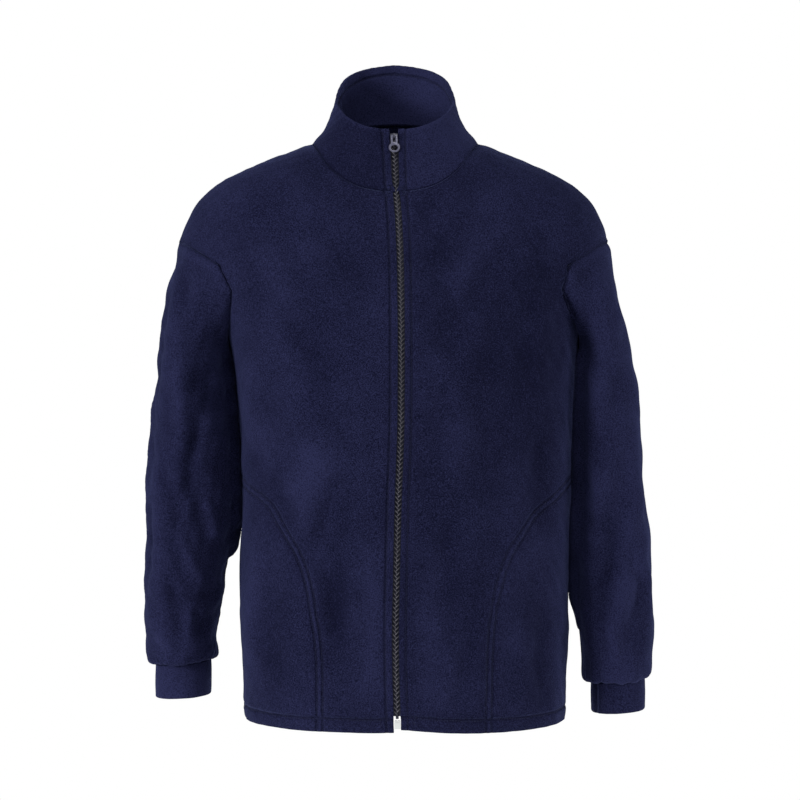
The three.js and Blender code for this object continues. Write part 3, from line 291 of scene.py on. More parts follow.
# A sleeve's seam lies at that depth on its inner side, which is where the cloth faces the body at
# least so squarely. The seams of the cuffs: across, and face.
SLEEVE_SEAM = 6.0
SLEEVE_INSIDE = -0.4
CUFF_SEAMS = {"cuff_left": (-238.0, 1), "cuff_right": (248.0, -1)}
# The pocket rows, from the side seam down to the hem: across and height in millimetres.
POCKET_ROWS = {
    "front_left": [
        (-196, -415), (-187, -421), (-154, -440), (-139, -467), (-121, -491), (-109, -520),
        (-103, -543), (-100, -566), (-94, -603), (-92, -650), (-92, -716),
    ],
    "front_right": [
        (222, -404), (213, -410), (188, -434), (160, -454), (136, -487), (124, -520),
        (115, -555), (110, -593), (108, -653), (108, -722),
    ],
}


# Shader maths
class Value:
    """One number in a material. Arithmetic on it adds Math nodes."""

    def __init__(self, tree, socket):
        self.tree, self.socket = tree, socket

    def maths(self, operation, *values):
        node = self.tree.nodes.new("ShaderNodeMath")
        node.operation = operation
        for place, value in zip(node.inputs, values):
            if isinstance(value, Value):
                self.tree.links.new(value.socket, place)
            else:
                place.default_value = value
        return Value(self.tree, node.outputs[0])

    def __add__(self, other):
        return self.maths("ADD", self, other)

    def __radd__(self, other):
        return self.maths("ADD", other, self)

    def __sub__(self, other):
        return self.maths("SUBTRACT", self, other)

    def __rsub__(self, other):
        return self.maths("SUBTRACT", other, self)

    def __mul__(self, other):
        return self.maths("MULTIPLY", self, other)

    def __rmul__(self, other):
        return self.maths("MULTIPLY", other, self)

    def __truediv__(self, other):
        return self.maths("DIVIDE", self, other)

    def at_least(self, other):
        return self.maths("MAXIMUM", self, other)

    def at_most(self, other):
        return self.maths("MINIMUM", self, other)


class Finish:
    """A material made of nodes, with one Principled shader."""

    def __init__(self, name, **constants):
        self.material = bpy.data.materials.new(name)
        self.material.use_nodes = True
        self.tree = self.material.node_tree
        self.shader = self.tree.nodes["Principled BSDF"]
        for name_, value in constants.items():
            self.shader.inputs[name_.replace("_", " ")].default_value = value

    def node(self, kind, settings=None, out=0, **inputs):
        """A node of that kind, with its settings and the values or links of its sockets."""
        node = self.tree.nodes.new(kind)
        for key, value in (settings or {}).items():
            setattr(node, key, value)
        for key, value in inputs.items():
            socket = node.inputs[int(key[1:])] if key[0] == "_" else node.inputs[key]
            if isinstance(value, Value):
                self.tree.links.new(value.socket, socket)
            else:
                socket.default_value = value
        return Value(self.tree, node.outputs[out])

    def link(self, value, name):
        self.tree.links.new(value.socket, self.shader.inputs[name])

    def place(self):
        return self.node("ShaderNodeTexCoord", out="Object")

    def noise(self, scale, detail=3.0, roughness=0.5):
        """Noise whose grains are about 1/scale metres across."""
        where = self.place()
        return self.node("ShaderNodeTexNoise", Vector=where, Scale=scale, Detail=detail, Roughness=roughness)

    def waves(self, way, scale, uneven):
        """Bands across that way, as in a weave or a knit."""
        settings = {"wave_type": "BANDS", "bands_direction": way}
        where = self.place()
        return self.node("ShaderNodeTexWave", settings, out=1, Vector=where, Scale=scale, Distortion=uneven)

    def mix(self, share, first, second):
        """A colour between two: opaque, and the second one where the share is 1."""
        colours = {"_6": first if isinstance(first, Value) else (*first, 1), "_7": (*second, 1)}
        return self.node("ShaderNodeMix", {"data_type": "RGBA"}, out=2, _0=share, **colours)

    def bump(self, height, distance, strength=1.0, normal=None):
        inputs = {"Height": height, "Distance": distance, "Strength": strength}
        if normal:
            inputs["Normal"] = normal
        return self.node("ShaderNodeBump", **inputs)

    def finish(self, colour, relief, roughness=None):
        self.link(colour, "Base Color")
        self.link(relief, "Normal")
        if roughness:
            self.link(roughness, "Roughness")
        return self.material


def fleece_finish():
    """Navy fleece: a short pebbled pile, cloudy where it lies differently, sunk along the rows with painted
    shade in the grooves, and with the light and shade painted on each piece added to its colour.
    """
    f = Finish("navy_fleece", Roughness=0.92, Sheen_Weight=0.2, Sheen_Roughness=0.38,
               Sheen_Tint=(0.30, 0.36, 0.86, 1), Specular_IOR_Level=0.06)
    clouds = f.noise(17.0, 3.0, 0.55)
    pebbles = f.noise(760.0, 2.0, 0.55)
    hairs = f.noise(1900.0, 2.0, 0.6)
    gaps = f.node("ShaderNodeAttribute", {"attribute_name": "row_gaps"}, out="Vector")
    rows = [f.node("ShaderNodeSeparateXYZ", out=axis, Vector=gaps) for axis in range(3)]

    def near(gap, reach):
        share = gap / reach
        return (1.0 - share * share).at_least(0.0)

    def sunk(gap):
        inside = near(gap, 3.0)
        return inside * inside

    groove = sunk(rows[0]).at_least(sunk(rows[1]))
    groove = groove.at_least(sunk(rows[2])).at_least(sunk(rows[1] - ROW_APART))
    painted_shading = f.node("ShaderNodeAttribute", {"attribute_name": "painted_light_and_shade"}, out="Fac")
    # A painted highlight on the crest between the pocket rows.
    painted_shading = painted_shading + near(rows[1] - ROW_APART / 2, 2.2) * 1.3
    # The fleece's random grain, plus the painted light and shade stored on each piece.
    grain_and_painted_shading = (clouds - 0.5) * 0.6 + (pebbles - 0.5) * 3.1 + (hairs - 0.5) * 1.4 + painted_shading * 0.1 + 0.44
    grain_and_painted_shading = grain_and_painted_shading.at_least(0.0).at_most(1.0)
    cloth = f.mix(grain_and_painted_shading, (0.0040, 0.0046, 0.0190), (0.0230, 0.0255, 0.0760))
    # Painted shade darkens the grooves of the rows and seams.
    shaded = f.mix(groove * groove * 0.4, cloth, (0.003, 0.0035, 0.011))
    deep = f.bump(groove * -1.0, 0.0014)
    return f.finish(shaded, f.bump(pebbles + hairs * 0.45, 0.0006, 0.8, deep))


def thread_finish():
    """Navy sewing thread with its twist."""
    f = Finish("navy_thread", Roughness=0.8, Sheen_Weight=0.1, Specular_IOR_Level=0.12)
    twist = f.waves("DIAGONAL", 900.0, 0.5)
    shade = f.mix(twist, (0.007, 0.008, 0.028), (0.021, 0.024, 0.070))
    return f.finish(shade, f.bump(twist, 0.0001, 0.6))


def lining_finish():
    """The pocket bags: thin brushed knit, with its fine ribs."""
    f = Finish("navy_knit", Roughness=0.85, Sheen_Weight=0.2)
    ribs = f.waves("X", 250.0, 0.8)
    patches = f.noise(60.0, 3.0)
    share = (ribs * 0.6 + patches * 0.5).at_most(1.0)
    return f.finish(f.mix(share, (0.007, 0.008, 0.024), (0.020, 0.023, 0.058)), f.bump(ribs, 0.0003, 0.6))


def tape_finish():
    """Woven zip tape: close ribs across, finer ones along."""
    f = Finish("zip_tape_weave", Roughness=0.75, Sheen_Weight=0.1)
    across = f.waves("Z", 330.0, 0.3)
    along = f.waves("X", 420.0, 0.3)
    weave = (across * along + across * 0.3).at_most(1.0)
    return f.finish(f.mix(weave, (0.014, 0.015, 0.034), (0.045, 0.047, 0.082)), f.bump(weave, 0.0003, 0.7))


def worn_finish(name, wear_size, dark, light, smoothest, rougher, grain, grain_deep, **constants):
    """A hard finish that is lighter and rougher in patches where it is handled or scuffed."""
    f = Finish(name, **constants)
    wear = f.noise(wear_size, 4.0, 0.6)
    relief = f.bump(f.noise(grain, 2.0), grain_deep, 0.5)
    return f.finish(f.mix(wear, dark, light), relief, smoothest + wear * rougher)


def box_finish():
    """White moulded plastic with a faint mould grain."""
    f = Finish("white_plastic", Roughness=0.42)
    dirt = f.noise(180.0, 4.0)
    relief = f.bump(f.noise(1800.0, 3.0), 0.00006, 0.5)
    return f.finish(f.mix(dirt, (0.70, 0.72, 0.70), (0.84, 0.86, 0.85)), relief, 0.34 + dirt * 0.2)


FLEECE = fleece_finish()
THREAD = thread_finish()
LINING = lining_finish()
TAPE = tape_finish()
COIL = worn_finish(
    "grey_nylon", 160.0, (0.060, 0.058, 0.074), (0.135, 0.130, 0.150), 0.28, 0.3, 2600.0, 0.00008,
    Roughness=0.38, Coat_Weight=0.1, Specular_IOR_Level=0.6)
PULL = worn_finish(
    "grey_painted_metal", 420.0, (0.085, 0.085, 0.140), (0.165, 0.165, 0.235), 0.3, 0.25, 2400.0, 0.00005,
    Metallic=0.35, Roughness=0.4, Coat_Weight=0.25)
SLIDER = worn_finish(
    "dark_painted_metal", 380.0, (0.018, 0.018, 0.034), (0.060, 0.060, 0.095), 0.35, 0.25, 2400.0, 0.00005,
    Metallic=0.3, Roughness=0.45, Coat_Weight=0.15)
BOX = box_finish()


# Handling of meshes
def only(piece):
    """Selects that piece alone and makes it the active one."""
    bpy.ops.object.select_all(action="DESELECT")
    piece.select_set(True)
    bpy.context.view_layer.objects.active = piece


def apply(piece, kind, **settings):
    """Adds a modifier with those settings and applies it."""
    modifier = piece.modifiers.new(kind.lower(), kind)
    for key, value in settings.items():
        setattr(modifier, key, value)
    only(piece)
    bpy.ops.object.modifier_apply(modifier=modifier.name)


def edit(piece, operator, **settings):
    """Runs one mesh operator on all of a piece in edit mode."""
    only(piece)
    bpy.ops.object.mode_set(mode="EDIT")
    bpy.ops.mesh.select_all(action="SELECT")
    operator(**settings)
    bpy.ops.object.mode_set(mode="OBJECT")


def rounded(piece, width, angle):
    """Rounds the edges of a piece that are sharper than the angle, in degrees."""
    apply(piece, "BEVEL", width=width, segments=3, limit_method="ANGLE",
          angle_limit=math.radians(angle), use_clamp_overlap=True)


def finished(piece, material, body="jacket"):
    """Gives a piece its one material and the body that it rides on."""
    piece.data.materials.clear()
    piece.data.materials.append(material)
    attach(piece, body)
    return piece


def copied(name, new_name):
    """A copy of a solid's mesh with its doubled points merged, as an object of its own."""
    piece = bpy.data.objects.new(new_name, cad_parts[name].data.copy())
    bpy.context.collection.objects.link(piece)
    edit(piece, bpy.ops.mesh.remove_doubles, threshold=0.00002)
    return piece


def keep_corners(piece, sharp=140.0):
    """Marks the sharp corners of a sheet's open edges, to stay where they are when it is refined."""
    ends = {}
    shape = bmesh.new()
    shape.from_mesh(piece.data)
    for edge in shape.edges:
        if edge.is_boundary:
            for point in edge.verts:
                ends.setdefault(point.index, []).append(edge.other_vert(point).co - point.co)
    marks = np.zeros(len(shape.verts), np.float32)
    shape.free()
    for number, ways in ends.items():
        if len(ways) == 2 and math.degrees(ways[0].angle(ways[1])) < sharp:
            marks[number] = 1.0
    store = piece.data.attributes.new("crease_vert", "FLOAT", "POINT")
    store.data.foreach_set("value", marks)


def outer_face(name, bend=50.0):
    """The outer face of one sewn solid, without its inner face and edges, as quads."""
    piece = copied(name, name + "_cloth")
    shape = bmesh.new()
    shape.from_mesh(piece.data)
    shape.faces.ensure_lookup_table()
    group, areas = {}, []
    for start in shape.faces:
        if start.index in group:
            continue
        group[start.index], todo, area = len(areas), [start], 0.0
        while todo:
            face = todo.pop()
            area += face.calc_area()
            for edge in face.edges:
                if len(edge.link_faces) == 2 and math.degrees(edge.calc_face_angle()) < bend:
                    for other in edge.link_faces:
                        if other.index not in group:
                            group[other.index] = len(areas)
                            todo.append(other)
        areas.append(area)
    keep = areas.index(max(areas))
    drop = [face for face in shape.faces if group[face.index] != keep]
    bmesh.ops.delete(shape, geom=drop, context="FACES")
    shape.to_mesh(piece.data)
    shape.free()
    limit = math.radians(100)
    edit(piece, bpy.ops.mesh.tris_convert_to_quads, face_threshold=limit, shape_threshold=limit)
    keep_corners(piece)
    apply(piece, "SUBSURF", levels=FINE, render_levels=FINE, boundary_smooth="PRESERVE_CORNERS")
    return piece


def points_of(piece):
    """Places in millimetres and outward directions of a mesh's points."""
    count = len(piece.data.vertices)
    places, ways = np.zeros(count * 3), np.zeros(count * 3)
    piece.data.vertices.foreach_get("co", places)
    piece.data.vertices.foreach_get("normal", ways)
    return places.reshape(-1, 3) / MM, ways.reshape(-1, 3)


def move_points(piece, places):
    piece.data.vertices.foreach_set("co", (places * MM).astype(np.float32).ravel())
    piece.data.update()


def edge_loops(piece):
    """The open edges of a sheet as ordered lists of point numbers."""
    shape = bmesh.new()
    shape.from_mesh(piece.data)
    links = {}
    for edge in shape.edges:
        if edge.is_boundary:
            a, b = (point.index for point in edge.verts)
            links.setdefault(a, []).append(b)
            links.setdefault(b, []).append(a)
    shape.free()
    loops, seen = [], set()
    for start in links:
        if start in seen:
            continue
        loop, at = [start], start
        seen.add(start)
        while True:
            onward = [n for n in links[at] if n not in seen]
            if not onward:
                break
            at = onward[0]
            seen.add(at)
            loop.append(at)
        loops.append(loop)
    return loops


def away_from(places, line):
    """How far each place is from a line of points, in millimetres."""
    if len(line) == 0:
        return np.full(len(places), FAR)
    tree = tree_of(line)
    return np.array([tree.find(p)[2] for p in places])


def wander(places, size, seed, waves=9):
    """A smooth uneven field of about -1 to 1, whose bumps are about size millimetres across."""
    random = np.random.default_rng(seed)
    ways = random.normal(size=(waves, 3))
    ways *= random.uniform(0.6, 1.5, (waves, 1)) * math.pi / size
    ways /= np.linalg.norm(random.normal(size=(waves, 3)), axis=1, keepdims=True)
    starts = random.uniform(0, math.tau, waves)
    return np.sin(places @ ways.T + starts).sum(axis=1) / math.sqrt(waves)


def unevenness(places, kind, side=0):
    """How far the cloth rises and sinks everywhere, a little."""
    return sum(high * wander(places, size, seed + side) for high, size, seed in UNEVEN[kind])


def crease(across, height, a1, z1, a2, z2, wide, high, drift):
    """The height of one soft crease: uneven, fading out at both ends, with a low rise beside it."""
    long = math.hypot(a2 - a1, z2 - z1)
    ahead, up = (a2 - a1) / long, (z2 - z1) / long
    along = ((across - a1) * ahead + (height - z1) * up) / long
    aside = (across - a1) * up - (height - z1) * ahead + drift * wide * CREASE_WANDER
    ends = np.clip(1 - np.abs(2 * along - 1) ** 3, 0, 1)
    width = CREASE_WIDTH * wide * (0.75 + 0.35 * np.clip(along, 0, 1))
    bank, off, broad = CREASE_BANK
    return high * ends * (bell(aside, 0, width) + bank * bell(aside, off * width, broad * width))


def zip_middle(height):
    """The place across of the zip's middle at a height."""
    table = np.array(ZIP_MIDDLE, float)
    return np.interp(height, table[:, 0], table[:, 1])


def trunk_creases(places, ways):
    """The height of the trunk's creases at each place."""
    drift = wander(places, 70, 5)
    total = unevenness(places, "trunk")
    for face, x1, z1, x2, z2, wide, high in TRUNK_CREASES:
        facing = np.clip(ways[:, 1] * face * TRUNK_TURN, 0, 1)
        total += facing * crease(places[:, 0], places[:, 2], x1, z1, x2, z2, wide, high, drift)
    total *= CREASE_DEPTH
    from_zip = np.abs(places[:, 0] - zip_middle(places[:, 2]))
    share = np.clip((from_zip - FLAT_AT_ZIP) / (CREASED_FROM_ZIP - FLAT_AT_ZIP), 0, 1)
    return np.where(ways[:, 1] < 0, total * share, total)


def sleeve_creases(places, ways, side):
    """The height of that sleeve's creases at each place."""
    drift = wander(places, 55, 21 + side)
    total = unevenness(places, "sleeve", side)
    for which, face, a1, z1, a2, z2, wide, high in SLEEVE_CREASES:
        if which != side:
            continue
        on_side = face in (0, 2)
        turned = ways[:, 0] * side * (1 if face == 0 else -1) if on_side else ways[:, 1] * face
        across = places[:, 1 if on_side else 0]
        facing = np.clip(turned * SLEEVE_TURN, 0, 1)
        total += facing * crease(across, places[:, 2], a1, z1, a2, z2, wide, high, drift)
    return total * CREASE_DEPTH


def painted_fold_bands(places, ways, name):
    """Bands of painted light and shade along the folds, standing in for how the light falls on them."""
    drift = wander(places, 60, 61)
    facing = np.clip(-ways[:, 1] * TRUNK_TURN, 0, 1)
    total = np.zeros(len(places))
    for x1, z1, x2, z2, wide, light in PAINTED_FOLD_BANDS.get(name, []):
        total += facing * crease(places[:, 0], places[:, 2], x1, z1, x2, z2, wide, light, drift)
    return total


def bell(gap, middle, reach):
    """1 where the gap is the middle one, fading away on both sides within about twice the reach."""
    return np.exp(-(((gap - middle) / reach) ** 2))


def dip(gap, shape):
    """How far the cloth is sunk beside a line."""
    reach, deep = shape
    return -deep * bell(gap, 0, reach)


def swell(gap, shape):
    """How far the cloth rises along a line."""
    high, middle, reach = shape
    return high * bell(gap, middle, reach)


def pucker(places, gap, shape):
    """How far the cloth rises and sinks by the puckers along a line."""
    high, size, seed, middle, reach = shape
    return high * wander(places, size, seed) * bell(gap, middle, reach)


def signed_gap(places, line):
    """How far each place is from a line drawn on the front, below 0 on its other side."""
    line = np.array(line, float)
    best = np.full(len(places), np.inf)
    at = places[:, [0, 2]]
    for a, b in zip(line[:-1], line[1:]):
        way = b - a
        share = np.clip(((at - a) @ way) / (way @ way), 0, 1)
        off = at - a - share[:, None] * way
        side = np.sign(way[0] * off[:, 1] - way[1] * off[:, 0])
        gap = np.where(side == 0, 1, side) * np.linalg.norm(off, axis=1)
        best = np.where(np.abs(gap) < np.abs(best), gap, best)
    return np.clip(best, -FAR, FAR)


def smooth_line(line, step=4.0):
    """The same line with its corners rounded, as points about step millimetres apart."""
    line = np.array(line, float)
    for _ in range(3):
        cut = [line[0]]
        for a, b in zip(line[:-1], line[1:]):
            cut += [a * 0.75 + b * 0.25, a * 0.25 + b * 0.75]
        line = np.array(cut + [line[-1]])
    return respaced(line, step)


def respaced(line, step):
    """The same line as points that are about one step apart."""
    line = np.array(line, float)
    along = np.concatenate([[0], np.cumsum(np.linalg.norm(np.diff(line, axis=0), axis=1))])
    count = max(2, round(along[-1] / step) + 1)
    at = np.linspace(0, along[-1], count)
    return np.stack([np.interp(at, along, line[:, k]) for k in range(line.shape[1])], axis=1)


def run_along(piece, loop, gap, wanted, apart=3):
    """A line on the sheet at that gap in from its edge, along the edge points that are wanted."""
    places, ways = points_of(piece)
    tree = surface_of(piece)
    centre = {}
    for polygon in piece.data.polygons:
        for corner in polygon.vertices:
            centre.setdefault(corner, []).append(polygon.center)
    line = []
    count = len(loop)
    for i, here in enumerate(loop):
        if not wanted(places[here]):
            continue
        before, after = places[loop[i - apart]], places[loop[(i + apart) % count]]
        run = Vector(after - before).normalized()
        inward = Vector(ways[here]).cross(run).normalized()
        middle = sum(centre[here], Vector()) / len(centre[here]) / MM
        if (middle - Vector(places[here])).dot(inward) < 0:
            inward.negate()
        found = tree.find_nearest(Vector(places[here]) + inward * gap)[0]
        line.append(tuple(found))
    return line


# Rows of stitches as they are found: the piece, its surface and the line. A front's row beside the
# zip ends above the hem, and rays to the front start from this far in front.
ROWS = []
ZIP_ROW_END = -702.0
IN_FRONT = -400.0


def edge_kind(name, point):
    """What an open edge of a sheet belongs to at that point: the zip, the hem or a seam."""
    is_front = name.startswith("front")
    if is_front and abs(point[0] - zip_middle(point[2])) < ZIP_EDGE or name == "collar" and at_zip(point):
        return "zip"
    if (is_front or name == "back") and at_hem(point) or name.startswith("cuff"):
        return "hem"
    return "hem" if name.startswith("sleeve") and point[2] < SLEEVE_END else "seam"


class Sheet:
    """One sewn piece's outer face, with what moves its points and the light and shade painted on it."""

    def __init__(self, name):
        self.name, self.piece = name, outer_face(name)
        self.loops = edge_loops(self.piece)
        self.places, self.ways = points_of(self.piece)
        self.is_front = name.startswith("front")
        self.is_trunk = self.is_front or name == "back"
        self.is_bag = name.startswith("pocket_bag")
        self.is_sleeve = name.startswith("sleeve")
        self.side = -1 if name.endswith("left") else 1
        edges = {"zip": [], "hem": [], "seam": [], "top": []}
        on_top = set(collar_runs(self.places, self.loops[0])[1]) if name == "collar" else set()
        for loop in self.loops:
            for number in loop:
                kind = edge_kind(name, self.places[number])
                edges["top" if kind == "seam" and number in on_top else kind].append(number)
        gaps = {kind: away_from(self.places, self.places[numbers]) for kind, numbers in edges.items()}
        self.to_zip, self.to_hem, self.to_seam, self.to_top = gaps.values()
        self.seam = [] if self.is_bag else edges["seam"]
        self.rise = np.zeros(len(self.places))
        # Each piece starts with its own painted light or shade over the whole piece.
        self.painted_shading = np.full(len(self.places), PAINTED_SHADING_BASE.get(name, 0.0))
        self.rows = np.full((len(self.places), 3), FAR)

    def sleeve(self):
        """The swelling beside the armhole, the gathers above the cuff and the seam inside."""
        across, deep = SLEEVE_MIDDLE
        turn = np.arctan2(self.places[:, 1] - deep, self.places[:, 0] - self.side * across)
        self.rise += swell(self.to_seam, ARMHOLE_SWELL)
        broad = np.sin(turn * GATHERS + GATHER_SPREAD * np.sin(turn * 2 + self.side))
        gather = broad + FINE_SHARE * np.sin(turn * FINE_GATHERS + self.side)
        self.rise += gather * swell(self.to_hem, CUFF_GATHERS) + swell(self.to_hem, CUFF_SWELL)
        inner = self.ways[:, 0] * self.side < SLEEVE_INSIDE
        self.rows[:, 0] = np.where(inner, np.abs(self.places[:, 1] - SLEEVE_SEAM), FAR)
        self.rise += dip(self.rows[:, 0], SLEEVE_SEAM_DIP)

    def cuff(self):
        self.rise += unevenness(self.places, "cuff")
        across, face = CUFF_SEAMS[self.name]
        on_face = self.places[:, 1] * face > self.places[:, 1].mean() * face
        self.rows[:, 0] = np.where(on_face, np.abs(self.places[:, 0] - across), FAR)
        self.rise += dip(self.rows[:, 0], CUFF_SEAM_DIP)

    def seams(self):
        """The cloth is held flat near its seams, sunk at them and a little puckered beside them."""
        self.rise *= 1 - bell(self.to_seam, 0, SEAM_HOLD)
        self.rise += pucker(self.places, self.to_seam, SEAM_PUCKER) + dip(self.to_seam, SEAM_DIP)

    def hem(self):
        """The turned-up hem, rounded, with its row."""
        self.rows[:, 2] = self.to_hem - HEM_TURN_UP
        share = np.clip(self.to_hem / HEM_TURN_UP, 0, 1)
        self.rise += HEM_BULGE * np.sin(share * math.pi)
        self.rise += pucker(self.places, self.rows[:, 2], HEM_PUCKER) + dip(self.rows[:, 2], ROW_DIP)

    def zip_row(self):
        self.rows[:, 0] = self.to_zip - ZIP_ROW
        self.rise += dip(self.rows[:, 0], ROW_DIP)

    def pocket_rows(self):
        """The edge at the zip rounds a little, and both pocket rows sink beside a low crest."""
        self.rise += swell(self.to_zip, ZIP_EDGE_SWELL)
        gap = signed_gap(self.places, smooth_line(POCKET_ROWS[self.name]))
        self.rows[:, 1] = gap
        self.rise += dip(gap, ROW_DIP) + dip(gap - ROW_APART, ROW_DIP)
        self.rise += swell(gap, POCKET_CREST) + pucker(self.places, gap, POCKET_PUCKER)

    def collar_rim(self):
        """The row under the rim, and painted light and shade: a painted highlight on the rim, painted light
        inside, painted shade on the left.
        """
        self.rows[:, 2] = self.to_top - COLLAR_ROW
        self.rise += pucker(self.places, self.rows[:, 2], RIM_PUCKER)
        in_front = np.clip((-self.places[:, 1] - COLLAR_FRONT) / COLLAR_FADE, 0, 1)
        rightward = np.clip(self.places[:, 0] / COLLAR_FADE, -1, 1)
        # Painted light on the right and on the rim, painted shade on the front, and painted light inside.
        self.painted_shading += in_front * (COLLAR_RIGHT_PAINTED_LIGHT * rightward + COLLAR_FRONT_PAINTED_SHADE + swell(self.to_top, RIM_PAINTED_LIGHT))
        self.painted_shading += COLLAR_INSIDE_PAINTED_LIGHT * np.clip(self.places[:, 1] / COLLAR_FADE, 0, 1)

    def mark_seams(self):
        """Seams get painted shade, and the swelling beside an armhole a painted highlight."""
        nearer = self.to_seam < np.abs(self.rows[:, 0])
        self.rows[:, 0] = np.where(nearer, self.to_seam * SEAM_NARROW, self.rows[:, 0])
        # Painted shade along the seam.
        self.painted_shading += swell(self.to_seam, SEAM_PAINTED_SHADE)
        # A painted highlight on the swelling beside the armhole.
        if self.is_sleeve:
            self.painted_shading += swell(self.to_seam, ARMHOLE_PAINTED_LIGHT)

    def shape(self):
        """Gives the sheet its form, and stores its rows and its painted light and shade for the finish to
        read.
        """
        if self.is_trunk or self.is_bag:
            self.rise += trunk_creases(self.places, self.ways)
        elif self.is_sleeve:
            self.rise += sleeve_creases(self.places, self.ways, self.side)
        # Painted light on the ridges of the creases and painted shade in their troughs.
        self.painted_shading += np.clip(self.rise / CREASE_DEPTH, -PAINTED_SHADING_LIMIT, PAINTED_SHADING_LIMIT)
        # Bands of painted light and shade along the folds.
        self.painted_shading += painted_fold_bands(self.places, self.ways, self.name)
        if self.is_sleeve:
            self.sleeve()
        elif self.name == "collar":
            self.rise += unevenness(self.places, "collar")
        elif self.name.startswith("cuff"):
            self.cuff()
        if not self.is_bag:
            self.seams()
        if self.is_trunk:
            self.hem()
        if self.is_front or self.name == "collar":
            self.zip_row()
        if self.is_front:
            self.pocket_rows()
        if self.name == "collar":
            self.collar_rim()
        if not self.is_bag:
            self.mark_seams()
        move_points(self.piece, self.places + self.ways * self.rise[:, None])
        # The rows, and the painted light and shade that the fleece finish adds to its colour.
        store = self.piece.data.attributes.new("row_gaps", "FLOAT_VECTOR", "POINT")
        store.data.foreach_set("vector", self.rows.astype(np.float32).ravel())
        store = self.piece.data.attributes.new("painted_light_and_shade", "FLOAT", "POINT")
        store.data.foreach_set("value", self.painted_shading.astype(np.float32))


def edge_ways(piece, loops, numbers):
    """At each of those edge points, the way along the cloth that leads straight off the sheet."""
    places, ways = points_of(piece)
    runs = {}
    for loop in loops:
        for k, number in enumerate(loop):
            run = places[loop[(k + 1) % len(loop)]] - places[loop[k - 1]]
            runs[number] = run / max(np.linalg.norm(run), 1e-6)
    centres = {}
    for polygon in piece.data.polygons:
        for corner in polygon.vertices:
            centres.setdefault(corner, []).append(np.array(polygon.center) / MM)
    outward = []
    for number in numbers:
        way = places[number] - np.mean(centres[number], axis=0)
        way = way - ways[number] * (way @ ways[number])
        way = way - runs[number] * (way @ runs[number])
        outward.append(way / np.linalg.norm(way))
    return np.array(outward)


def ease_seam(piece, loops, seam):
    """Smooths a sheet beside its seams and leaves its open edges where they are."""
    places, _ = points_of(piece)
    ends = np.zeros(len(piece.data.edges) * 2, np.int64)
    piece.data.edges.foreach_get("vertices", ends)
    a, b = ends.reshape(-1, 2).T
    neighbours = np.bincount(ends, minlength=len(places))[:, None]
    share = EASE_SHARE * bell(away_from(places, places[seam]), 0, SEAM_EASE)
    share[[number for loop in loops for number in loop]] = 0
    for _ in range(EASE_ROUNDS):
        total = np.zeros_like(places)
        np.add.at(total, a, places[b])
        np.add.at(total, b, places[a])
        places += share[:, None] * (total / neighbours - places)
    move_points(piece, places)


def dense(line, steps=8):
    """The places of an edge, with more of them between each two neighbours."""
    onward = np.roll(line, -1, axis=0)
    near = np.linalg.norm(onward - line, axis=1) < EDGE_BREAK
    shares = [k / steps for k in range(1, steps)]
    return np.concatenate([line] + [(line * (1 - s) + onward * s)[near] for s in shares])


def evened(line, bend=0.82):
    """The same edge without its small zigzags; its corners stay."""
    before, after = np.roll(line, 1, axis=0) - line, np.roll(line, -1, axis=0) - line
    long_a, long_b = np.linalg.norm(before, axis=1), np.linalg.norm(after, axis=1)
    turn = -(before * after).sum(axis=1) / np.maximum(long_a * long_b, 1e-6)
    plain = (turn > bend) & (long_a < EDGE_BREAK) & (long_b < EDGE_BREAK)
    return line + np.where(plain[:, None], (before + after) / 4, 0)


def drawn_together(sheets):
    """Closes the seams: the edges of pieces that are sewn to each other meet and overlap a little."""
    seams = {}
    for name, sheet in sheets.items():
        if sheet.seam:
            start = points_of(sheet.piece)[0][sheet.seam]
            seams[name] = {"start": start, "at": start.copy()}
    for _ in range(SEAM_ROUNDS):
        trees = {name: tree_of(dense(seam["at"])) for name, seam in seams.items()}
        for name, seam in seams.items():
            met = seam["at"].copy()
            for i, place in enumerate(seam["at"]):
                found = [tree.find(place) for other, tree in trees.items() if other != name]
                near = [(point, gap) for point, _, gap in found if gap < SEAM_CATCH]
                if not near:
                    continue
                least = min(gap for _, gap in near)
                shares = [math.exp(-(gap - least) / SEAM_SHARE) for _, gap in near]
                total = place + sum(np.array(p) * w for (p, _), w in zip(near, shares))
                met[i] = total / (1 + sum(shares))
            seam["next"] = met
        for seam in seams.values():
            seam["at"] = evened(seam["next"])
    for name, seam in seams.items():
        sheet = sheets[name]
        outward = edge_ways(sheet.piece, sheet.loops, sheet.seam)
        shifts = seam["at"] + outward * SEAM_OVERLAP - seam["start"]
        places, _ = points_of(sheet.piece)
        tree = tree_of(seam["start"])
        found = [tree.find(p)[1:] for p in places]
        near = np.array([index for index, _ in found])
        far = np.array([gap for _, gap in found])
        move_points(sheet.piece, places + shifts[near] * bell(far, 0, SEAM_FOLLOW)[:, None])
        ease_seam(sheet.piece, sheet.loops, sheet.seam)


def tree_of(places):
    tree = KDTree(len(places))
    for i, place in enumerate(places):
        tree.insert(place, i)
    tree.balance()
    return tree


def surface_of(*pieces):
    points, faces = [], []
    for piece in pieces:
        start = len(points)
        points += [Vector(p) for p in points_of(piece)[0]]
        faces += [tuple(c + start for c in f.vertices) for f in piece.data.polygons]
    return BVHTree.FromPolygons(points, faces)


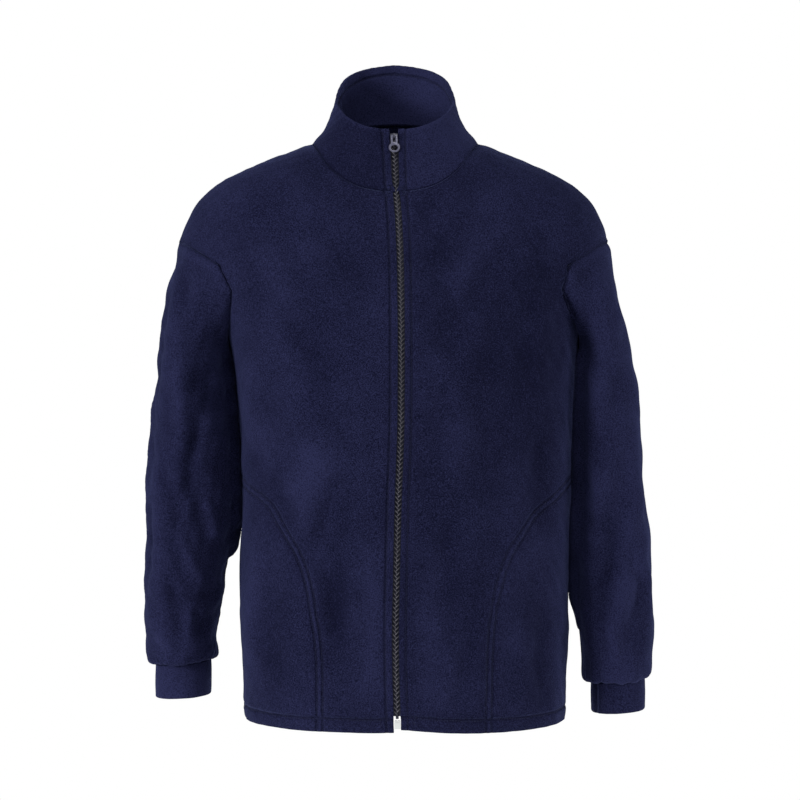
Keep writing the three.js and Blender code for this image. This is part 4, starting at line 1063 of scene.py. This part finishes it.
def lay_against(sleeve, trunk):
    """Lets the inner side of a sleeve rest on the body where it hangs close to it."""
    places, ways = points_of(sleeve)
    surface = surface_of(*trunk)
    for i, place in enumerate(places):
        if place[2] > LAY_FROM or place[2] < LAY_TO:
            continue
        found, _, _, gap = surface.find_nearest(Vector(place), LAY_REACH)
        if found is None:
            continue
        toward = (found - Vector(place)).normalized()
        if Vector(ways[i]).dot(toward) < LAY_FACING:
            continue
        share = min(1.0, (LAY_REACH - gap) / LAY_SOFT) * min(1.0, (LAY_FROM - place[2]) / LAY_SOFT_HIGH)
        places[i] = Vector(place) + toward * max(0.0, gap - LAY_GAP) * share
    move_points(sleeve, places)


def add_rows(sheet):
    """Notes where the rows of stitches of a shaped piece run."""
    if sheet.is_front:
        rows_of_front(sheet)
    elif sheet.name == "back":
        low = run_along(sheet.piece, sheet.loops[0], HEM_TURN_UP, at_hem)
        ROWS.append(("back", surface_of(sheet.piece), low))
    elif sheet.name == "collar":
        rows_of_collar(sheet.piece, sheet.loops[0])


def made_cloth(sheet):
    """Gives a shaped piece its rows, its thickness, its rounded edges and its finish."""
    name, piece = sheet.name, sheet.piece
    thick, width, length, area, hangs_from = SHEETS[name]
    add_rows(sheet)
    group = piece.vertex_groups.new(name="thickness")
    most = HEM_THICK if sheet.is_trunk else thick
    for i, gap in enumerate(sheet.to_hem):
        share = thick / most
        if sheet.is_trunk and gap < HEM_TURN_UP + HEM_FADE:
            share += (1 - share) * min(1.0, (HEM_TURN_UP + HEM_FADE - gap) / HEM_FADE)
        group.add([i], share, "REPLACE")
    outer = points_of(piece)[0]
    apply(piece, "SOLIDIFY", thickness=most * MM, offset=-1.0, use_even_offset=False,
          use_quality_normals=True, vertex_group="thickness", use_rim=True)
    piece.vertex_groups.clear()
    if name == "collar":
        row_inside(piece, outer)
    rounded(piece, (LIP_DOUBLED if name in DOUBLED else LIP) * MM, 55)
    only(piece)
    bpy.ops.object.shade_smooth()
    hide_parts(name)
    if sheet.is_bag:
        finished(piece, LINING)
    else:
        finished(piece, FLEECE)


def row_inside(piece, outer):
    """Leaves the collar's top row on its inner face, sunk in and with its line for the stitches."""
    places, ways = points_of(piece)
    inner = np.arange(len(places)) >= len(outer)
    if np.abs(places[:len(outer)] - outer).max() > 0.01:
        inner = ~inner
    store = piece.data.attributes["row_gaps"].data
    gaps = np.zeros(len(places) * 3)
    store.foreach_get("vector", gaps)
    gaps = gaps.reshape(-1, 3)
    gaps[~inner, 2] = FAR
    store.foreach_set("vector", gaps.astype(np.float32).ravel())
    move_points(piece, places + ways * np.where(inner, dip(gaps[:, 2], INNER_ROW_DIP), 0)[:, None])
    row, tree, line = ROWS[-1]
    surface = surface_of(piece)
    moved = []
    for point in line:
        found, way = tree.find_nearest(Vector(point))[:2]
        moved.append(tuple(surface.find_nearest(found - way * (SHEETS[row][0] + 1))[0]))
    ROWS[-1] = (row, surface, moved)


def at_hem(point):
    return point[2] < HEM_EDGE


def at_zip(point):
    return point[1] < -COLLAR_FRONT and abs(point[0] - zip_middle(point[2])) < ZIP_EDGE + 1


def collar_runs(places, loop):
    """The collar's neck seam and its top edge, each as point numbers in their order."""
    ends = [i for i, n in enumerate(loop) if at_zip(places[n])]
    count = len(loop)
    first = next(i for i in ends if not at_zip(places[loop[(i + 1) % count]]))
    order = loop[first + 1:] + loop[:first + 1]
    runs, run = [], []
    for number in order:
        if at_zip(places[number]):
            runs.append(run)
            run = []
        else:
            run.append(number)
    runs = sorted(runs, key=len)[-2:]
    return sorted(runs, key=lambda run: np.mean(places[run][:, 2]))


def rows_of_front(sheet):
    """The rows beside the zip, above the hem and around the pocket."""
    piece, loop = sheet.piece, sheet.loops[0]
    tree = surface_of(piece)

    def beside_zip(point):
        return abs(point[0] - zip_middle(point[2])) < ZIP_EDGE and point[2] > ZIP_ROW_END

    ROWS.append((sheet.name, tree, run_along(piece, loop, ZIP_ROW, beside_zip)))
    ROWS.append((sheet.name, tree, run_along(piece, loop, HEM_TURN_UP, at_hem)))
    pocket_line = smooth_line(POCKET_ROWS[sheet.name])
    steps = np.gradient(pocket_line, axis=0)
    steps /= np.linalg.norm(steps, axis=1, keepdims=True)
    for gap in (0.0, ROW_APART):
        drawn = []
        for (x, z), (dx, dz) in zip(pocket_line, steps):
            start = Vector((x - dz * gap, IN_FRONT, z + dx * gap))
            found = tree.ray_cast(start, Vector((0, 1, 0)))[0]
            if found is not None and not at_hem(found):
                drawn.append(tuple(found))
        ROWS.append((sheet.name, tree, drawn))


def rows_of_collar(piece, loop):
    """The rows beside the zip and under the rim."""
    tree = surface_of(piece)
    places, _ = points_of(piece)
    top_points = {tuple(places[n]) for n in collar_runs(places, loop)[1]}
    for side in (-1, 1):
        line = run_along(piece, loop, ZIP_ROW, lambda p: at_zip(p) and (p[0] - COLLAR_MIDDLE) * side > 0)
        ROWS.append(("collar", tree, line))
    top = run_along(piece, loop, COLLAR_ROW, lambda p: tuple(p) in top_points)
    ROWS.append(("collar", tree, top))


CLOTH = {name: Sheet(name) for name in SHEETS}
for sheet in CLOTH.values():
    sheet.shape()
TRUNK = [sheet.piece for sheet in CLOTH.values() if sheet.is_trunk]
for name in ("sleeve_left", "sleeve_right"):
    lay_against(CLOTH[name].piece, TRUNK)
drawn_together(CLOTH)
for sheet in CLOTH.values():
    made_cloth(sheet)


# Rows of stitches
STITCH_LONG = 2.7
STITCH_STEP = 3.4
STITCH_LEAN = 0.07
STITCH_SUNK = 0.08
THREAD_THICK = 0.55


def tube(rings, turned=False):
    """A closed tube through rings of points, all of one length, as points and faces."""
    sides = len(rings[0])
    faces = []
    for r in range(len(rings) - 1):
        for k in range(sides):
            a, b = r * sides + k, r * sides + (k + 1) % sides
            faces.append((a, b, b + sides, a + sides))
    last = (len(rings) - 1) * sides
    faces += [tuple(range(sides))[::-1], tuple(range(last, last + sides))]
    if turned:
        faces = [face[::-1] for face in faces]
    return np.array([point for ring in rings for point in ring]), faces


def around(sides):
    """The cosine and sine of each corner of a regular ring."""
    return [(math.cos(math.tau * k / sides), math.sin(math.tau * k / sides)) for k in range(sides)]


def capsule(long, thick, sides=6):
    """One stitch lying along x: thin at both ends."""
    rings = []
    for along, share in [(-0.5, 0.25), (-0.36, 0.85), (0.0, 1.0), (0.36, 0.85), (0.5, 0.25)]:
        radius = share * thick / 2
        rings.append([(along * long, c * radius, s * radius) for c, s in around(sides)])
    return tube(rings)


def joined_copies(name, shape, frames):
    """Many copies of one small shape as one mesh: frames are (place, x, y, z directions), mm."""
    points, faces = shape
    all_points, all_faces = [], []
    for i, (place, x, y, z) in enumerate(frames):
        all_points.append(np.array(place) + points @ np.array([x, y, z]))
        all_faces += [tuple(c + i * len(points) for c in face) for face in faces]
    mesh = bpy.data.meshes.new(name)
    mesh.from_pydata(np.concatenate(all_points) * MM, [], all_faces)
    piece = bpy.data.objects.new(name, mesh)
    bpy.context.collection.objects.link(piece)
    only(piece)
    bpy.ops.object.shade_smooth()
    return piece


def stitches(name, surfaces_and_lines):
    """Stitches along lines on their surfaces, each leaning a little its own way."""
    frames = []
    random = np.random.default_rng(7)
    for tree, line in surfaces_and_lines:
        for run in unbroken(line):
            run = respaced(run, STITCH_STEP)
            for a, b in zip(run[:-1], run[1:]):
                middle, way = Vector((a + b) / 2), Vector(b - a).normalized()
                found, normal = tree.find_nearest(middle)[:2]
                side = normal.cross(way).normalized()
                up = way.cross(side)
                way = (way + side * random.uniform(-STITCH_LEAN, STITCH_LEAN)).normalized()
                place = found - up * STITCH_SUNK
                frames.append((tuple(place), tuple(way), tuple(up.cross(way)), tuple(up)))
    piece = joined_copies(name, capsule(STITCH_LONG, THREAD_THICK), frames)
    return finished(piece, THREAD)


def unbroken(line):
    """The stretches of a line whose points follow each other closely."""
    runs = [[line[0]]]
    for point in line[1:]:
        if np.linalg.norm(np.subtract(point, runs[-1][-1])) < ROW_BREAK:
            runs[-1].append(point)
        else:
            runs.append([point])
    return [run for run in runs if len(run) > 3]


for owner in ("front_left", "front_right", "back", "collar"):
    lines = [(tree, line) for name, tree, line in ROWS if name == owner and len(line) > 3]
    stitches(owner + "_stitches", lines)


# The zip
CHAIN_PITCH = 5.4
CHAIN_HALF = 3.55
CORE_HALF = 1.7
CORE_THICK = 0.9
CORE_BEHIND = 0.75
# One turn of the coil from the tape's edge to the middle: its rise, its crown, how far it starts
# behind, its thickness in each ring, its section's height and width, how far it passes the middle,
# how its rise bends, and where its crown starts and how far it goes on half a wave.
TOOTH_RISE = 3.7
TOOTH_CROWN = 0.95
TOOTH_BEHIND = 0.35
TOOTH_THICK = (0.62, 0.74, 0.76, 0.76, 0.8, 0.9, 0.6)
TOOTH_HIGH = 1.3
TOOTH_WIDE = 0.35
TOOTH_PAST = 0.35
TOOTH_BEND = 1.1
TOOTH_ARCH = (0.08, 0.74)


def chain_line():
    """The middle of the closed teeth, from the hem up."""
    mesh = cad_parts["zip_chain"].data
    places = sorted({tuple(round(c / MM, 2) for c in point.co) for point in mesh.vertices},
                    key=lambda p: p[2])
    rings = [np.array(places[i:i + 4]) for i in range(0, len(places) - 3, 4)]
    return np.array([ring.mean(axis=0) for ring in rings])


def tooth(side):
    """One turn of the coil: from the tape's edge over its crown down to the middle."""
    rings = []
    for r, thick in enumerate(TOOTH_THICK):
        s = r / (len(TOOTH_THICK) - 1)
        across = side * (CHAIN_HALF - (CHAIN_HALF + TOOTH_PAST) * s)
        up = TOOTH_RISE * (1 - s) ** TOOTH_BEND
        out = TOOTH_CROWN * math.sin(math.pi * (TOOTH_ARCH[0] + TOOTH_ARCH[1] * s)) - TOOTH_BEHIND
        rings.append([(across + side * TOOTH_WIDE * c * thick, up + TOOTH_HIGH * c * thick,
                       out + t * thick) for c, t in around(6)])
    return tube(rings, turned=side > 0)


def chain_axes(fine, i):
    """Across, up and out of the cloth at one place of the chain."""
    up = fine[min(i + 3, len(fine) - 1)] - fine[max(i - 3, 0)]
    up /= np.linalg.norm(up)
    across = np.array([1.0, 0, 0]) - up[0] * up
    across /= np.linalg.norm(across)
    out = np.cross(across, up)
    return across, up, (-out if out[1] > 0 else out)


def zip_core():
    """The woven core behind the teeth, which closes the slit between the two tapes."""
    fine = respaced(chain_line(), CHAIN_PITCH / 2)
    rings = []
    for i, place in enumerate(fine):
        across, _, out = chain_axes(fine, i)
        rings.append([place + across * CORE_HALF * c + out * (CORE_THICK / 2 * s - CORE_BEHIND)
                      for c, s in around(8)])
    core = joined_copies("zip_core", tube(rings), [((0, 0, 0), (1, 0, 0), (0, 1, 0), (0, 0, 1))])
    edit(core, bpy.ops.mesh.normals_make_consistent, inside=False)
    return finished(core, TAPE)


def zip_teeth():
    """Both halves of the closed coil, whose turns reach between each other."""
    fine = respaced(chain_line(), CHAIN_PITCH / 2)
    frames = {-1: [], 1: []}
    for i in range(2, len(fine) - 4):
        axes = [tuple(axis) for axis in chain_axes(fine, i)]
        frames[1 if i % 2 else -1].append((tuple(fine[i]), *axes))
    halves = [joined_copies(f"teeth_{side + 1}", tooth(side), frames[side]) for side in (-1, 1)]
    only(halves[0])
    halves[1].select_set(True)
    bpy.ops.object.join()
    teeth = halves[0]
    teeth.name = "zip_teeth"
    edit(teeth, bpy.ops.mesh.normals_make_consistent, inside=False)
    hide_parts("zip_chain")
    return finished(teeth, COIL)


def rounded_copy(name, new_name, width, material, body):
    """A hard part of the zip with its edges rounded, in the place of its solid."""
    piece = copied(name, new_name)
    edit(piece, bpy.ops.mesh.dissolve_limited, angle_limit=math.radians(1.5))
    rounded(piece, width * MM, 30)
    only(piece)
    bpy.ops.object.shade_smooth_by_angle(angle=math.radians(40))
    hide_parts(name)
    return finished(piece, material, body)


zip_teeth()
zip_core()
rounded_copy("zip_slider", "slider_body", 0.35, SLIDER, "jacket")
rounded_copy("zip_pull", "pull_tab", 0.28, PULL, "pull")
rounded_copy("zip_box", "end_box", 0.3, BOX, "jacket")
for name in ("zip_tape_left", "zip_tape_right"):
    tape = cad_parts[name]
    tape.data.materials.clear()
    tape.data.materials.append(TAPE)


# Floor, light and camera, in metres
FLOOR_RADIUS = 0.9
FLOOR_THICK = 0.03
FLOOR_HEIGHT = -1.05
SKY_STRENGTH = 0.22
STAGE_MIDDLE = (0, 0, -0.4)
LAMPS = [
    # name, place, aim, size in metres, watts
    ("key", (-2.2, -1.6, 0.0), STAGE_MIDDLE, 0.7, 55),
    ("fill", (2.6, -0.7, -0.4), STAGE_MIDDLE, 0.8, 30),
    ("top", (0.3, -1.2, 1.5), (0, 0, -0.1), 0.8, 11),
]
CAMERA_PLACE = (0.00625, -2.5, -0.315)
LENS = 90.0


def studio_floor():
    bpy.ops.object.select_all(action="DESELECT")
    bpy.ops.mesh.primitive_cylinder_add(
        vertices=128, radius=FLOOR_RADIUS, depth=FLOOR_THICK, location=(0, 0, FLOOR_HEIGHT))
    floor = bpy.context.object
    floor.name = "studio_floor"
    bpy.ops.object.transform_apply(location=True, rotation=True, scale=True)
    apply(floor, "BEVEL", width=0.008, segments=3, limit_method="ANGLE")
    only(floor)
    bpy.ops.object.shade_smooth_by_angle(angle=math.radians(40))
    f = Finish("pale_floor", Roughness=0.7, Emission_Color=(1, 1, 1, 1), Emission_Strength=0.45)
    f.link(f.mix(f.noise(1.3, 2.0), (0.86, 0.86, 0.865), (0.9, 0.9, 0.9)), "Base Color")
    floor.data.materials.append(f.material)


def studio_light():
    """A white backdrop for the camera, a softer sky for the light, and three lamps."""
    world = bpy.data.worlds.new("studio")
    world.use_nodes = True
    sky = world.node_tree
    backdrop = sky.nodes["Background"]
    backdrop.inputs[0].default_value = (1, 1, 1, 1)
    soft = sky.nodes.new("ShaderNodeBackground")
    soft.inputs[0].default_value = (0.93, 0.96, 1.0, 1)
    soft.inputs[1].default_value = SKY_STRENGTH
    seen = sky.nodes.new("ShaderNodeLightPath")
    either = sky.nodes.new("ShaderNodeMixShader")
    sky.links.new(seen.outputs["Is Camera Ray"], either.inputs[0])
    sky.links.new(soft.outputs[0], either.inputs[1])
    sky.links.new(backdrop.outputs[0], either.inputs[2])
    sky.links.new(either.outputs[0], sky.nodes["World Output"].inputs[0])
    bpy.context.scene.world = world
    for name, place, aim, size, watts in LAMPS:
        light = bpy.data.lights.new(name, "AREA")
        light.energy, light.size = watts, size
        lamp = bpy.data.objects.new(name, light)
        lamp.location = place
        lamp.rotation_euler = (Vector(aim) - Vector(place)).to_track_quat("-Z", "Y").to_euler()
        bpy.context.collection.objects.link(lamp)


def studio_camera():
    """A level camera opposite the middle of the jacket."""
    lens = bpy.data.cameras.new("camera")
    lens.lens, lens.sensor_width, lens.clip_end = LENS, 36.0, 50.0
    camera = bpy.data.objects.new("camera", lens)
    camera.location = CAMERA_PLACE
    camera.rotation_euler = (math.pi / 2, 0, 0)
    bpy.context.collection.objects.link(camera)
    bpy.context.scene.camera = camera
    bpy.context.scene.view_settings.view_transform = "Standard"


studio_floor()
studio_light()
studio_camera()
